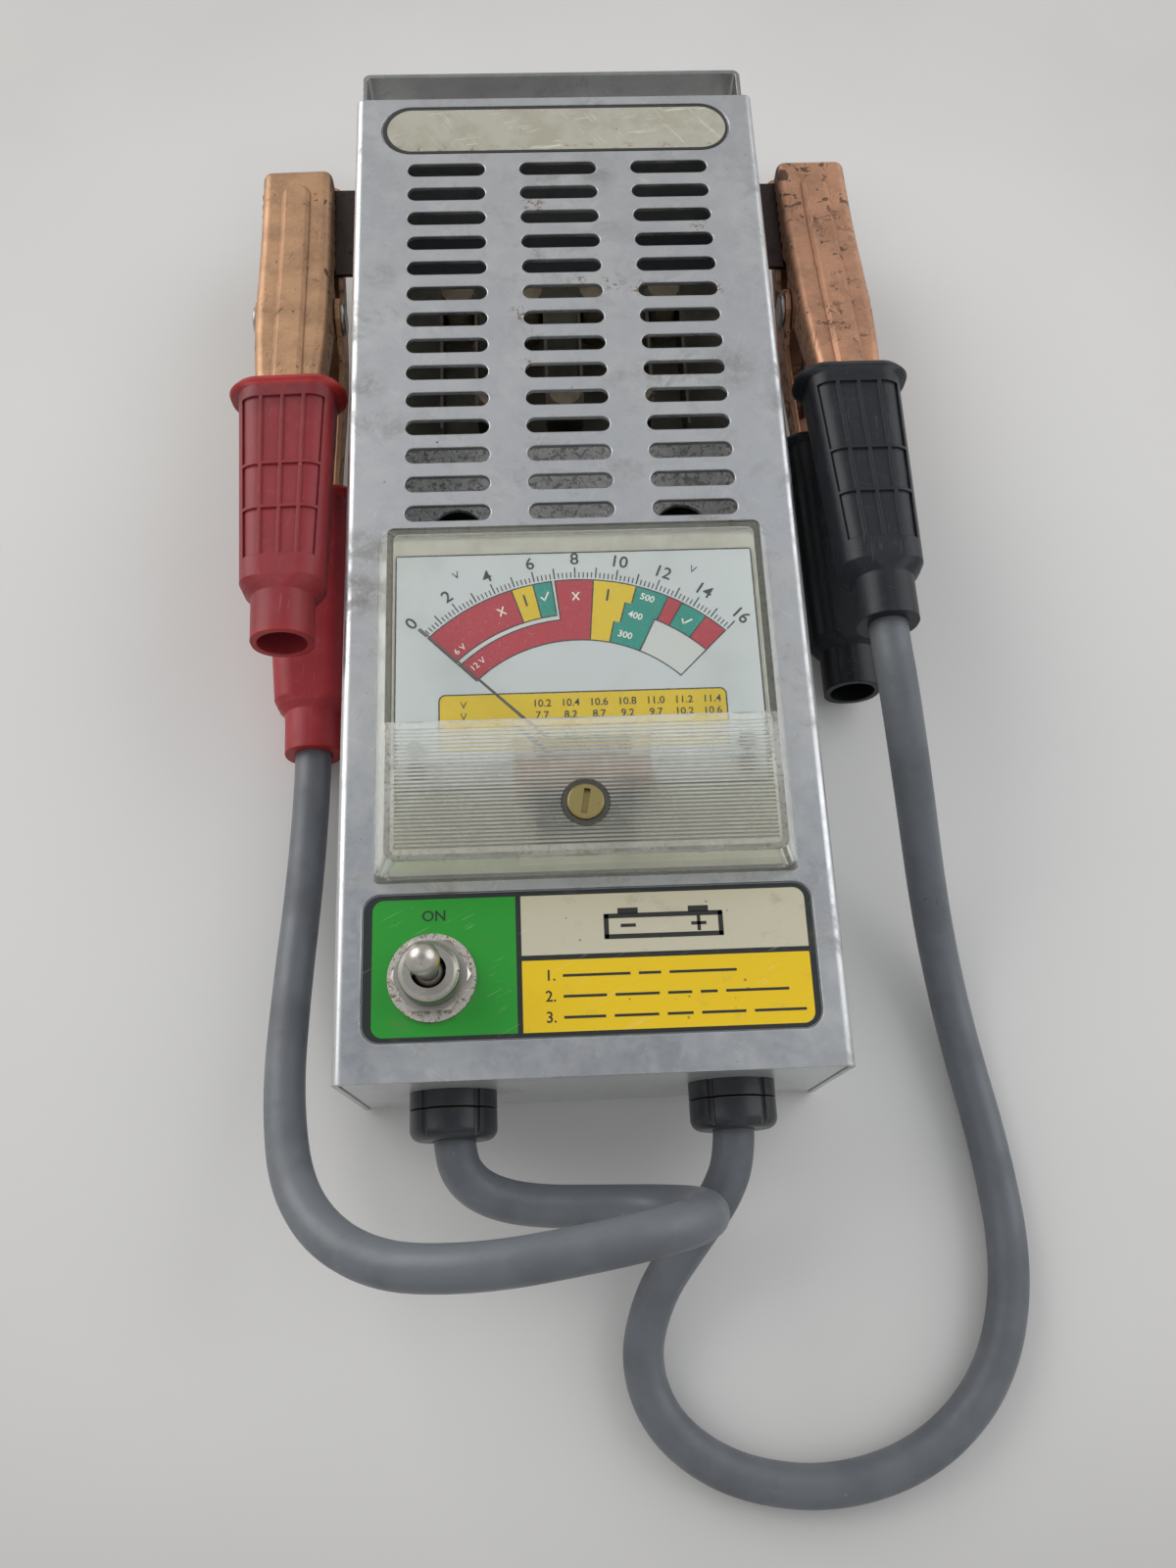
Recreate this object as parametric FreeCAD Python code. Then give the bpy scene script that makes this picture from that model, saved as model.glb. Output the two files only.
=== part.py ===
"""Hand-held battery load tester, lying on its back.

Millimetres. +Z is the way the meter faces, +Y runs from the cable end to the handle end and +X is to the right.
The origin is the middle of the back plate's rest face. Places along the case are given from the cable end.
"""

import FreeCAD, Part
import math
import os

Vector = FreeCAD.Vector

# Case
CASE_W = 106.0
CASE_L = 258.0
CASE_D = 50.0
SHEET = 1.2
BEND = 2.0
SHEET_FIT = 0.15
END_REVEAL = 0.3
COVER_LIFT = 0.4
LIP_H = 13.0
LIP_END = 9.0

# Vent slots in the cover
SLOT_ROWS = 14
SLOT_PITCH = 7.925
SLOT_DROP = 24.3
SLOT_L = 20.2
SLOT_W = 4.3
COLUMN_STEP = 29.1

# Pressed recesses and the plates in them
PRESS_DEPTH = 0.5
PLATE_T = 0.4
PLATE_FIT = 0.35
NAME_DROP = 10.8
NAME_MARGIN = 6.8
NAME_W = 16.2
LABEL_Y = 23.4
LABEL_MARGIN = 5.7
LABEL_W = 31.2
LABEL_R = 4.0

# Handle strap and clamp rests
STRAP_W = 19.0
STRAP_Z = 13.5
STRAP_REACH = 28.8
STRAP_LAP = 34.0
STRAP_R = 2.2
REST_DROP = 10.0
REST_L = 29.0
REST_REACH = 24.8
REST_Z = 28.5
REST_LEG = 13.0
REST_R = 3.0

# Fasteners
SCREW_D = 4.0
SCREW_HEAD_D = 7.6
SCREW_HEAD_H = 2.4
SCREW_TAIL = 4.5
NUT_AF = 7.0
NUT_H = 3.0
HOLE_FIT = 0.1
RECESS_W = 1.0
STRAP_SCREW_Y = (28.5, 15.0)
STRAP_SCREW_DROP = 7.0
CASE_SCREW_LOW = 24.0
CASE_SCREW_DROP = 62.0
CASE_SCREW_Z = 8.0
CASE_SCREW_L = 6.0

# Meter
METER_Y0 = 41.2
METER_L = 84.6
METER_W = 90.4
METER_H = 12.0
METER_SIDE_DRAFT = 3.8
METER_LOW_DRAFT = 1.8
METER_TOP_DRAFT = 6.0
METER_WALL = 2.0
METER_R = 1.6
STEP_UP = 31.8
STEP_H = 1.2
RIB_PITCH = 0.86
RIB_GROOVE = 0.5
RIB_DEPTH = 0.25
RIB_LIFT = 0.1
TRAY_T = 1.2
TRAY_FIT = 0.3
CAN_W = 64.0
CAN_UP = 4.8
CAN_L = 50.0
CAN_DEPTH = 17.0
CAN_WALL = 1.6
CAN_FIT = 0.3
DIAL_MARGIN = 4.4
DIAL_UP = 25.3
DIAL_DROP = 7.8
DIAL_T = 0.6
DIAL_R = 0.6
DIAL_NOTCH_W = 30.0
DIAL_NOTCH_H = 6.0
DIAL_SCREW_INSET = 4.8
DIAL_SCREW_UP = 3.5
PIVOT_UP = 22.4
PIVOT_D = 2.4
POINTER_DROP = 5.4
POINTER_W = 0.4
POINTER_T = 0.4
POINTER_TAIL = 7.0
POINTER_LIFT = 3.4
POINTER_REST = 45.5
MAGNET_W = 21.0
MAGNET_L = 20.0
MAGNET_H = 2.4
BRIDGE_SPAN = 29.0
BRIDGE_W = 6.0
BRIDGE_T = 1.2
BRIDGE_GAP = 0.8
POST_D = 3.6
ZERO_UP = 12.8
ZERO_HEAD_D = 7.6
ZERO_HEAD_H = 1.6
ZERO_SHAFT_D = 4.0
ZERO_SHAFT_L = 4.2
ZERO_SLOT_W = 1.3
ZERO_SLOT_TURN = 80.0
STUD_X = 24.0
STUD_UP = 60.8
STUD_D = 3.0
STUD_L = 14.0
STUD_NUT_D = 6.4
STUD_NUT_H = 2.2

# Toggle switch
SWITCH_X = -32.7
SWITCH_Y = 20.9
BUSH_D = 11.9
BUSH_H = 8.4
BUSH_BORE = 7.2
WASHER_D = 18.3
WASHER_T = 1.0
HEX_AF = 14.3
HEX_H = 2.6
LEVER_NECK_D = 4.2
LEVER_BALL_D = 6.6
LEVER_TOP = 22.4
LEVER_PIVOT = 5.4
LEVER_PIVOT_D = 6.8
LEVER_TAIL = 4.6
LEVER_PIN_D = 1.6
LEVER_PIN_L = 9.6
SWITCH_BODY_W = 18.0
SWITCH_BODY_L = 26.0
SWITCH_BODY_H = 19.0
SWITCH_BODY_R = 1.5
TERMINAL_D = 4.0
TERMINAL_L = 5.0
TERMINAL_FLANGE_D = 7.2
TERMINAL_FLANGE_T = 1.2
TERMINAL_STEP = 12.0

# Load ribbon on ceramic posts and the shield before the meter
RUNS = 8
RUN_PITCH = 9.17
RIBBON_T = 0.8
RIBBON_H = 11.0
RIBBON_DROP = 18.5
RIBBON_L = 32.5
RIBBON_TAIL = 8.0
POST_FIT = 0.05
POST_H = 18.0
BOARD_MARGIN = 8.0
BOARD_DROP = 31.0
BOARD_L = 63.0
BOARD_T = 2.0
BOARD_Z = 14.0
SPACER_D = 8.0
SPACER_INSET = 7.0
SHIELD_MARGIN = 6.0
SHIELD_LAP = 3.0
SHIELD_L = 97.0
SHIELD_Z = 26.0
SHIELD_FOOT = 7.0
SHIELD_HOLE_D = 13.2
SHIELD_HOLE_X = 28.5
SHIELD_HOLE_DROP = 27.3

# Cable glands
GLAND_X = 30.2
GLAND_Z = 27.0
GLAND_D = 18.8
GLAND_BODY_L = 3.6
GLAND_SEAM = 0.4
GLAND_NUT_L = 6.2
GLAND_LOBES = 5
GLAND_GROOVE = 1.6
GLAND_END_R = 2.4
GLAND_NECK_D = 12.2
GLAND_THREAD_L = 5.6
LOCKNUT_D = 18.0
LOCKNUT_L = 3.6
CABLE_D = 9.0
CABLE_FIT = 0.05
LEAD_D = 4.6

# Battery clamps, in their own frame: pivot at the origin, jaws towards +Y
CLAMP_SHEET = 1.4
TIP_Y = 46.0
TIP_Z = 6.6
KNEE_Y = 22.0
KNEE_Z = 8.6
CROWN_Z = 12.4
HEEL_Y = -32.0
HEEL_Z = 18.5
ARM_END_Y = -90.0
ARM_END_Z = 23.2
ARM_DEPTH = 8.4
JAW_HALF_W = 9.4
OUTER_HALF_W = 11.05
ARM_HALF_W = 6.4
JAW_EDGE_R = 2.4
BITE_FIT = 0.05
TEETH_END = 17.0
TOOTH_PITCH = 3.6
TOOTH_DEPTH = 1.5
TOOTH_FLAT = 0.6
THROAT_Z = 3.4
THROAT_L = 8.0
LUG_R = 5.6
RIVET_D = 4.6
RIVET_HEAD_D = 8.4
RIVET_HEAD_H = 1.0
RIVET_FIT = 0.05
RIB_W = 7.4
RIB_H = 1.4
RIB_START = 39.5
SPRING_WIRE = 1.5
SPRING_R = 4.6
SPRING_TURNS = 4
SPRING_PITCH = 2.05
SPRING_LEG = 24.0
SPRING_SEAT = 0.15

# Vinyl boots on the clamp arms
BOOT_Y = -34.0
BOOT_FLANGE_W = 28.6
BOOT_FLANGE_H = 16.6
BOOT_FLANGE_L = 3.0
BOOT_W0 = 23.2
BOOT_W1 = 19.0
BOOT_H0 = 15.8
BOOT_H1 = 15.2
BOOT_L = 54.0
BOOT_SHOULDER = 3.4
NECK_D = 14.2
NECK_L = 10.6
MOUTH_D = 11.4
BOOT_FIT = 0.3
PANEL_DEPTH = 0.5
PANEL_RIB = 0.8
PANEL_COLUMNS = 4
PANEL_MARGIN = 1.2
PANEL_ROWS = ((0.06, 0.42), (0.435, 0.65), (0.665, 0.9))

# Where the two clamps hang on their rests: out from the case side and down from the handle end
RED_OUT = 16.85
RED_DROP = 54.0
RED_YAW = 1.7
RED_SLIP = 12.0
BLACK_OUT = 18.1
BLACK_DROP = 53.4
BLACK_YAW = 0.35

# Cable routes: places out from the cable end, then beside the case as shares of the way to the boot
RED_ROUTE = (
    (-30.2, -4.0, 27.0),
    (-30.2, -12.6, 27.0),
    (-27.4, -18.4, 26.4),
    (-21.4, -22.0, 25.0),
    (-12.0, -23.8, 22.6),
    (3.0, -24.2, 20.2),
    (15.4, -24.8, 24.4),
    (21.6, -26.0, 35.0),
    (21.4, -27.6, 47.4),
    (13.4, -29.8, 57.2),
    (-1.2, -32.4, 61.2),
    (-24.0, -35.4, 60.4),
    (-45.5, -34.0, 53.6),
    (-61.0, -22.0, 41.6),
)
RED_SIDE = ((-67.4, 0.0, 26.0), (-68.8, 0.32, 12.4), (-67.6, 0.62, 7.6))
BLACK_ROUTE = (
    (30.2, -4.0, 27.0),
    (30.2, -13.6, 27.0),
    (27.4, -22.4, 23.4),
    (20.0, -32.0, 15.4),
    (12.0, -43.0, 8.2),
    (8.2, -57.0, 5.0),
    (13.4, -70.6, 4.6),
    (28.0, -80.4, 4.6),
    (49.5, -83.4, 4.6),
    (71.0, -77.4, 4.6),
    (87.0, -62.5, 4.6),
    (93.8, -41.0, 4.6),
    (92.4, -15.0, 4.6),
)
BLACK_SIDE = (
    (88.2, 0.1, 5.2),
    (85.0, 0.3, 9.0),
    (81.6, 0.46, 18.0),
    (78.0, 0.6, 30.0),
    (74.6, 0.74, 41.0),
    (72.6, 0.88, 46.6),
)

# Inner leads: middle places of their routes, as shares of the way from the switch or gland to the ribbon
LEAD_GAP = 0.3
LOAD_LEAD_ROUTE = ((-34.0, 0.11, 22.5), (-37.5, 0.31, 18.0), (-38.5, 0.57, 17.0), (-38.0, 0.81, 17.5))
RETURN_LEAD_ROUTE = (
    (31.0, 0.055, 26.2), (35.0, 0.22, 21.0), (38.5, 0.42, 17.5), (38.8, 0.635, 17.0), (38.0, 0.84, 17.5),
)

END = -CASE_L / 2
FRONT = CASE_D
INNER_FRONT = CASE_D - SHEET
HALF_W = CASE_W / 2
LABEL_TOP = FRONT - PRESS_DEPTH + PLATE_T
LABEL_L = CASE_W - 2 * LABEL_MARGIN
NAME_L = CASE_W - 2 * NAME_MARGIN
NAME_Y = CASE_L - NAME_DROP
SLOT_FIRST = CASE_L - SLOT_DROP
REST_Y1 = CASE_L - REST_DROP
REST_Y0 = REST_Y1 - REST_L
REST_OUT = HALF_W + SHEET + REST_REACH
SIDE_SCREW_Y = tuple(CASE_L - drop for drop in STRAP_SCREW_Y)
CASE_SCREW_Y = (CASE_SCREW_LOW, CASE_L - CASE_SCREW_DROP)
METER_Y1 = METER_Y0 + METER_L
STEP_Y = METER_Y0 + STEP_UP
CAN_Y0 = METER_Y0 + CAN_UP
CAN_Y1 = CAN_Y0 + CAN_L
DIAL_W = METER_W - 2 * DIAL_MARGIN
DIAL_Y0 = METER_Y0 + DIAL_UP
DIAL_Y1 = METER_Y1 - DIAL_DROP
DIAL_SCREW_X = DIAL_W / 2 - DIAL_SCREW_INSET
DIAL_SCREW_Y = DIAL_Y0 + DIAL_SCREW_UP
PIVOT_Y = METER_Y0 + PIVOT_UP
POINTER_R = DIAL_Y1 - PIVOT_Y - POINTER_DROP
ZERO_Y = METER_Y0 + ZERO_UP
STUD_Y = METER_Y0 + STUD_UP
BOARD_W = CASE_W - 2 * BOARD_MARGIN
BOARD_Y1 = CASE_L - BOARD_DROP
BOARD_Y0 = BOARD_Y1 - BOARD_L
RIBBON_TOP_Y = BOARD_Y1 - RIBBON_DROP
RIBBON_LOW_Y = RIBBON_TOP_Y - RIBBON_L
SHIELD_W = CASE_W - 2 * SHIELD_MARGIN
SHIELD_Y1 = BOARD_Y0 + SHIELD_LAP
SHIELD_Y0 = SHIELD_Y1 - SHIELD_L
SHIELD_HOLE_Y = SHIELD_Y1 - SHIELD_HOLE_DROP
RED_PIVOT = (-HALF_W - RED_OUT, CASE_L - RED_DROP)
BLACK_PIVOT = (HALF_W + BLACK_OUT, CASE_L - BLACK_DROP)


def y_at(distance):
    """Give the Y of a place so far from the cable end."""
    return END + distance


def box(x0, x1, y0, y1, z0, z1):
    """Make a box from its lowest and highest values."""
    return Part.makeBox(x1 - x0, y1 - y0, z1 - z0, Vector(x0, y0, z0))


def rod(x, y, z, radius, length, axis=(0, 0, 1)):
    """Make a cylinder from its first end."""
    return Part.makeCylinder(radius, length, Vector(x, y, z), Vector(*axis))


def polygon_prism(points, height):
    """Extrude a closed outline of vectors along a vector."""
    wire = Part.makePolygon(list(points) + [points[0]])
    return Part.Face(wire).extrude(height)


def rounded_face(x0, x1, y0, y1, z, radius):
    """Make a flat rectangle with round corners."""
    edges = []
    corners = ((x1, y1, 0), (x0, y1, 90), (x0, y0, 180), (x1, y0, 270))
    ends = []
    for x, y, start in corners:
        toward = 45 + start
        cx = x - math.copysign(radius, math.cos(math.radians(toward)))
        cy = y - math.copysign(radius, math.sin(math.radians(toward)))
        spots = []
        for turn in (start, start + 45, start + 90):
            angle = math.radians(turn)
            spots.append(Vector(cx + radius * math.cos(angle), cy + radius * math.sin(angle), z))
        edges.append(Part.Arc(*spots).toShape())
        ends.append((spots[0], spots[2]))
    joined = []
    for index, arc in enumerate(edges):
        joined.append(arc)
        following = ends[(index + 1) % 4][0]
        if ends[index][1].distanceToPoint(following) > 1e-6:
            joined.append(Part.LineSegment(ends[index][1], following).toShape())
    return Part.Face(Part.Wire(joined))


def rounded_block(x0, x1, y0, y1, z0, z1, radius):
    """Make a block with round upright edges."""
    return rounded_face(x0, x1, y0, y1, z0, radius).extrude(Vector(0, 0, z1 - z0))


def slot_block(x, y, length, width, z0, z1):
    """Make a block with round ends along X."""
    radius = width / 2
    return rounded_block(x - length / 2, x + length / 2, y - radius, y + radius, z0, z1, radius - 1e-4)


def hexagon(x, y, z, flats, height, axis=(0, 0, 1)):
    """Make a hexagonal nut blank with its first face on a point."""
    radius = flats / math.sqrt(3)
    points = []
    for index in range(6):
        angle = math.radians(60 * index)
        points.append(Vector(radius * math.cos(angle), radius * math.sin(angle), 0))
    blank = polygon_prism(points, Vector(0, 0, height))
    blank.Placement = FreeCAD.Placement(Vector(x, y, z), FreeCAD.Rotation(Vector(0, 0, 1), Vector(*axis)))
    return blank


def edges_where(shape, test):
    """List the edges whose middle passes a test."""
    found = []
    for edge in shape.Edges:
        middle = edge.valueAt((edge.FirstParameter + edge.LastParameter) / 2)
        if test(edge, middle):
            found.append(edge)
    return found


def mirrored(shape):
    """Copy a piece to the other side of the case."""
    return shape.mirror(Vector(0, 0, 0), Vector(1, 0, 0))


def save(name, shape):
    """Check one piece and write it under its node's name."""
    solids = shape.Solids
    shape = solids[0] if len(solids) == 1 else Part.makeCompound(solids)
    if not solids or not shape.isValid():
        raise ValueError(name + " isn't a valid solid")
    shape.exportStep("parts/" + name + ".step")
    print(name, len(solids), "solids", round(shape.Volume, 1), "mm3")


def arc_at(corner, before, after):
    """Make the arc between two points that a corner's two sides touch."""
    middle = (before + after) * 0.5
    rise = corner - middle
    chord = before.distanceToPoint(after) / 2
    half_turn = math.atan2(rise.Length, chord)
    top = middle + rise * (chord * math.tan(half_turn / 2) / rise.Length)
    return Part.Arc(before, top, after).toShape()


def round_path(points):
    """Join straight runs by arcs as large as the runs allow.

    Returns the wire, its length and the arcs' radii.
    """
    edges = []
    radii = []
    start = points[0]
    for index in range(1, len(points) - 1):
        here = points[index]
        back = points[index - 1] - here
        ahead = points[index + 1] - here
        reach = 0.45 * min(back.Length, ahead.Length)
        turn = math.pi - back.getAngle(ahead)
        before = here + back * (reach / back.Length)
        after = here + ahead * (reach / ahead.Length)
        edges.append(Part.LineSegment(start, before).toShape())
        edges.append(arc_at(here, before, after))
        radii.append(reach / math.tan(turn / 2))
        start = after
    edges.append(Part.LineSegment(start, points[-1]).toShape())
    wire = Part.Wire(edges)
    return wire, wire.Length, radii


def tube(points, diameter, label):
    """Sweep a round section along a route and print how it came out."""
    wire, length, radii = round_path(points)
    heading = points[1] - points[0]
    circle = Part.Wire(Part.Circle(points[0], heading, diameter / 2).toShape())
    solid = wire.makePipeShell([circle], True, False)
    expected = math.pi * diameter * diameter / 4 * length
    print(label, "length", round(length, 1), "volume share", round(solid.Volume / expected, 4))
    print(label, "radii", [round(radius, 1) for radius in radii])
    return solid


def biarc(p0, t0, p1, t1):
    """Join two points and headings by two arcs that share a tangent."""
    gap = p1 - p0
    both = t0 + t1
    spread = 2 * (1 - t0.dot(t1))
    along = gap.dot(both)
    if spread < 1e-9:
        reach = gap.dot(gap) / (4 * gap.dot(t1))
    else:
        reach = (math.sqrt(along * along + spread * gap.dot(gap)) - along) / spread
    first = p0 + t0 * reach
    second = p1 - t1 * reach
    joint = (first + second) * 0.5
    return [arc_at(first, p0, joint), arc_at(second, joint, p1)]


# Case pieces


def make_front_cover():
    """Cover: a sheet bent over the front and both long sides."""
    cover = box(-HALF_W, HALF_W, END, -END, COVER_LIFT, FRONT)
    top = edges_where(cover, lambda e, m: abs(m.z - FRONT) < 1e-6 and abs(abs(m.x) - HALF_W) < 1e-6)
    cover = cover.makeFillet(BEND, top)
    inside = box(SHEET - HALF_W, HALF_W - SHEET, END - 1, 1 - END, COVER_LIFT - 1, INNER_FRONT)
    top = edges_where(inside, lambda e, m: abs(m.z - INNER_FRONT) < 1e-6 and abs(abs(m.x) - HALF_W + SHEET) < 1e-6)
    cover = cover.cut(inside.makeFillet(BEND - SHEET, top))
    floor = INNER_FRONT - PRESS_DEPTH
    pads = [
        rounded_block(-LABEL_L / 2 - SHEET, LABEL_L / 2 + SHEET, y_at(LABEL_Y - LABEL_W / 2) - SHEET,
                      y_at(LABEL_Y + LABEL_W / 2) + SHEET, floor, INNER_FRONT, LABEL_R + SHEET),
        slot_block(0, y_at(NAME_Y), NAME_L + 2 * SHEET, NAME_W + 2 * SHEET, floor, INNER_FRONT),
    ]
    cover = cover.fuse(pads)
    cuts = [
        rounded_block(-LABEL_L / 2, LABEL_L / 2, y_at(LABEL_Y - LABEL_W / 2), y_at(LABEL_Y + LABEL_W / 2),
                      FRONT - PRESS_DEPTH, FRONT + 1, LABEL_R),
        slot_block(0, y_at(NAME_Y), NAME_L, NAME_W, FRONT - PRESS_DEPTH, FRONT + 1),
        rod(SWITCH_X, y_at(SWITCH_Y), floor - 1, BUSH_D / 2 + HOLE_FIT, SHEET + 2),
        box(-CAN_W / 2 - CAN_FIT, CAN_W / 2 + CAN_FIT, y_at(CAN_Y0) - CAN_FIT, y_at(CAN_Y1) + CAN_FIT,
            INNER_FRONT - 1, FRONT + 1),
    ]
    for side in (-1, 1):
        cuts.append(rod(side * STUD_X, y_at(STUD_Y), INNER_FRONT - 1, STUD_D / 2 + HOLE_FIT, SHEET + 2))
        reach = (side, 0, 0)
        for y in SIDE_SCREW_Y:
            cuts.append(rod(side * (HALF_W - SHEET - 1), y_at(y), REST_Z - STRAP_SCREW_DROP,
                            SCREW_D / 2 + HOLE_FIT, SHEET + 2, reach))
        for y in CASE_SCREW_Y:
            cuts.append(rod(side * (HALF_W - SHEET - 1), y_at(y), CASE_SCREW_Z,
                            SCREW_D / 2 + HOLE_FIT, SHEET + 2, reach))
    for row in range(SLOT_ROWS):
        for column in (-1, 0, 1):
            cuts.append(slot_block(column * COLUMN_STEP, y_at(SLOT_FIRST - row * SLOT_PITCH), SLOT_L, SLOT_W,
                                   INNER_FRONT - 1, FRONT + 1))
    return cover.cut(Part.makeCompound(cuts))


def make_rear_chassis():
    """Chassis: back plate, both end walls and the lips that the cover is screwed to."""
    side = HALF_W - SHEET - SHEET_FIT
    low = END + END_REVEAL
    top = INNER_FRONT - SHEET_FIT
    chassis = box(-side, side, low, -low, 0, top)
    bends = edges_where(chassis, lambda e, m: abs(m.z) < 1e-6 and abs(abs(m.y) + low) < 1e-6)
    chassis = chassis.makeFillet(BEND, bends)
    inside = box(-side - 1, side + 1, low + SHEET, -low - SHEET, SHEET, top + 1)
    bends = edges_where(inside, lambda e, m: abs(m.z - SHEET) < 1e-6 and abs(abs(m.y) + low + SHEET) < 1e-6)
    chassis = chassis.cut(inside.makeFillet(BEND - SHEET, bends))
    lips = []
    cuts = []
    for hand in (-1, 1):
        edge = hand * side
        inner = hand * (side - SHEET)
        lips.append(box(min(edge, inner), max(edge, inner), low + LIP_END, -low - LIP_END, 0.0, LIP_H))
        for y in CASE_SCREW_Y:
            cuts.append(rod(hand * (side - SHEET - 1), y_at(y), CASE_SCREW_Z, SCREW_D / 2 + HOLE_FIT,
                            SHEET + 2, (hand, 0, 0)))
        cuts.append(rod(hand * GLAND_X, END - 1, GLAND_Z, GLAND_NECK_D / 2 + HOLE_FIT, SHEET + 3, (0, 1, 0)))
    return chassis.fuse(lips).cut(Part.makeCompound(cuts))


def make_carry_handle():
    """Handle: a flat strap bent round the handle end and lapped on the case sides."""
    outer = HALF_W + SHEET
    low = -END - STRAP_LAP
    high = -END + STRAP_REACH
    strap = box(-outer, outer, low, high, STRAP_Z, STRAP_Z + STRAP_W)
    corners = edges_where(strap, lambda e, m: abs(m.y - high) < 1e-6 and abs(abs(m.x) - outer) < 1e-6)
    strap = strap.makeFillet(STRAP_R, corners)
    hole = box(-HALF_W, HALF_W, low - 1, high - SHEET, STRAP_Z - 1, STRAP_Z + STRAP_W + 1)
    corners = edges_where(hole, lambda e, m: abs(m.y - high + SHEET) < 1e-6 and abs(abs(m.x) - HALF_W) < 1e-6)
    strap = strap.cut(hole.makeFillet(STRAP_R - SHEET, corners))
    cuts = []
    for side in (-1, 1):
        for y in SIDE_SCREW_Y:
            cuts.append(rod(side * (HALF_W - 1), y_at(y), REST_Z - STRAP_SCREW_DROP, SCREW_D / 2 + HOLE_FIT,
                            SHEET + 2, (side, 0, 0)))
    return strap.cut(Part.makeCompound(cuts))


def make_clamp_rest():
    """Right clamp rest: an angle whose flat leg is bitten and whose upright leg is screwed on the strap."""
    inner = HALF_W + SHEET
    top = REST_Z + SHEET / 2
    flat = rounded_block(inner - REST_R, REST_OUT, y_at(REST_Y0), y_at(REST_Y1), top - SHEET, top, REST_R)
    flat = flat.common(box(inner, REST_OUT, y_at(REST_Y0), y_at(REST_Y1), top - SHEET, top))
    leg = box(inner, inner + SHEET, y_at(REST_Y0), y_at(REST_Y1), top - REST_LEG, top)
    rest = flat.fuse(leg).removeSplitter()
    cuts = []
    for y in SIDE_SCREW_Y:
        cuts.append(rod(inner - 1, y_at(y), REST_Z - STRAP_SCREW_DROP, SCREW_D / 2 + HOLE_FIT, SHEET + 2, (1, 0, 0)))
    return rest.cut(Part.makeCompound(cuts))


def make_screw(length):
    """Pan-head screw along -Z with the underside of its head at the origin."""
    head = rod(0, 0, 0, SCREW_HEAD_D / 2, SCREW_HEAD_H)
    rim = edges_where(head, lambda e, m: abs(m.z - SCREW_HEAD_H) < 1e-6 and len(e.Vertexes) == 1)
    head = head.makeFillet(SCREW_HEAD_H * 0.55, rim)
    screw = head.fuse(rod(0, 0, -length, SCREW_D / 2, length))
    cross = SCREW_HEAD_D * 0.3
    for long_x, long_y in ((cross, RECESS_W / 2), (RECESS_W / 2, cross)):
        screw = screw.cut(box(-long_x, long_x, -long_y, long_y, SCREW_HEAD_H / 2, SCREW_HEAD_H + 1))
    return screw


def set_on_side(shape, side, x, y, z):
    """Turn a piece made along Z so that its +Z points out of one side of the case."""
    copy = shape.copy()
    turn = FreeCAD.Rotation(Vector(0, 1, 0), 90 * side)
    copy.Placement = FreeCAD.Placement(Vector(side * x, y, z), turn)
    return copy


def make_case_fasteners():
    """Give the handle screws, their nuts and the case screws, each as a group."""
    seat = HALF_W + 2 * SHEET
    strap_screw = make_screw(3 * SHEET + SCREW_TAIL)
    case_screw = make_screw(CASE_SCREW_L)
    nut = hexagon(0, 0, 0, NUT_AF, NUT_H).cut(rod(0, 0, -1, SCREW_D / 2 + HOLE_FIT, NUT_H + 2))
    screws = []
    nuts = []
    case_screws = []
    for side in (-1, 1):
        for y in SIDE_SCREW_Y:
            z = REST_Z - STRAP_SCREW_DROP
            screws.append(set_on_side(strap_screw, side, seat, y_at(y), z))
            nuts.append(set_on_side(nut, side, HALF_W - SHEET - NUT_H, y_at(y), z))
        for y in CASE_SCREW_Y:
            case_screws.append(set_on_side(case_screw, side, HALF_W, y_at(y), CASE_SCREW_Z))
    return Part.makeCompound(screws), Part.makeCompound(nuts), Part.makeCompound(case_screws)


def make_name_plate():
    """Long plate with round ends in the upper recess."""
    floor = FRONT - PRESS_DEPTH
    return slot_block(0, y_at(NAME_Y), NAME_L - 2 * PLATE_FIT, NAME_W - 2 * PLATE_FIT, floor, floor + PLATE_T)


def make_front_label():
    """Plate in the lower recess, with the hole for the switch."""
    floor = FRONT - PRESS_DEPTH
    half = LABEL_L / 2 - PLATE_FIT
    wide = LABEL_W / 2 - PLATE_FIT
    plate = rounded_block(-half, half, y_at(LABEL_Y) - wide, y_at(LABEL_Y) + wide, floor, floor + PLATE_T,
                          LABEL_R - PLATE_FIT)
    return plate.cut(rod(SWITCH_X, y_at(SWITCH_Y), floor - 1, BUSH_D / 2 + HOLE_FIT, PLATE_T + 2))


# Meter pieces


def meter_block(inset, top, below):
    """Tapered block of the meter cover, drawn in by a wall."""
    half = METER_W / 2 - inset
    y0 = y_at(METER_Y0) + inset
    y1 = y_at(METER_Y1) - inset
    share = top / METER_H
    base = rounded_face(-half, half, y0, y1, FRONT, METER_R).OuterWire
    upper = rounded_face(-half + METER_SIDE_DRAFT * share, half - METER_SIDE_DRAFT * share,
                         y0 + METER_LOW_DRAFT * share, y1 - METER_TOP_DRAFT * share, FRONT + top, METER_R).OuterWire
    block = Part.makeLoft([base, upper], True, True)
    if below:
        block = block.fuse(rounded_face(-half, half, y0, y1, FRONT - below, METER_R).extrude(Vector(0, 0, below)))
    return block


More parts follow.
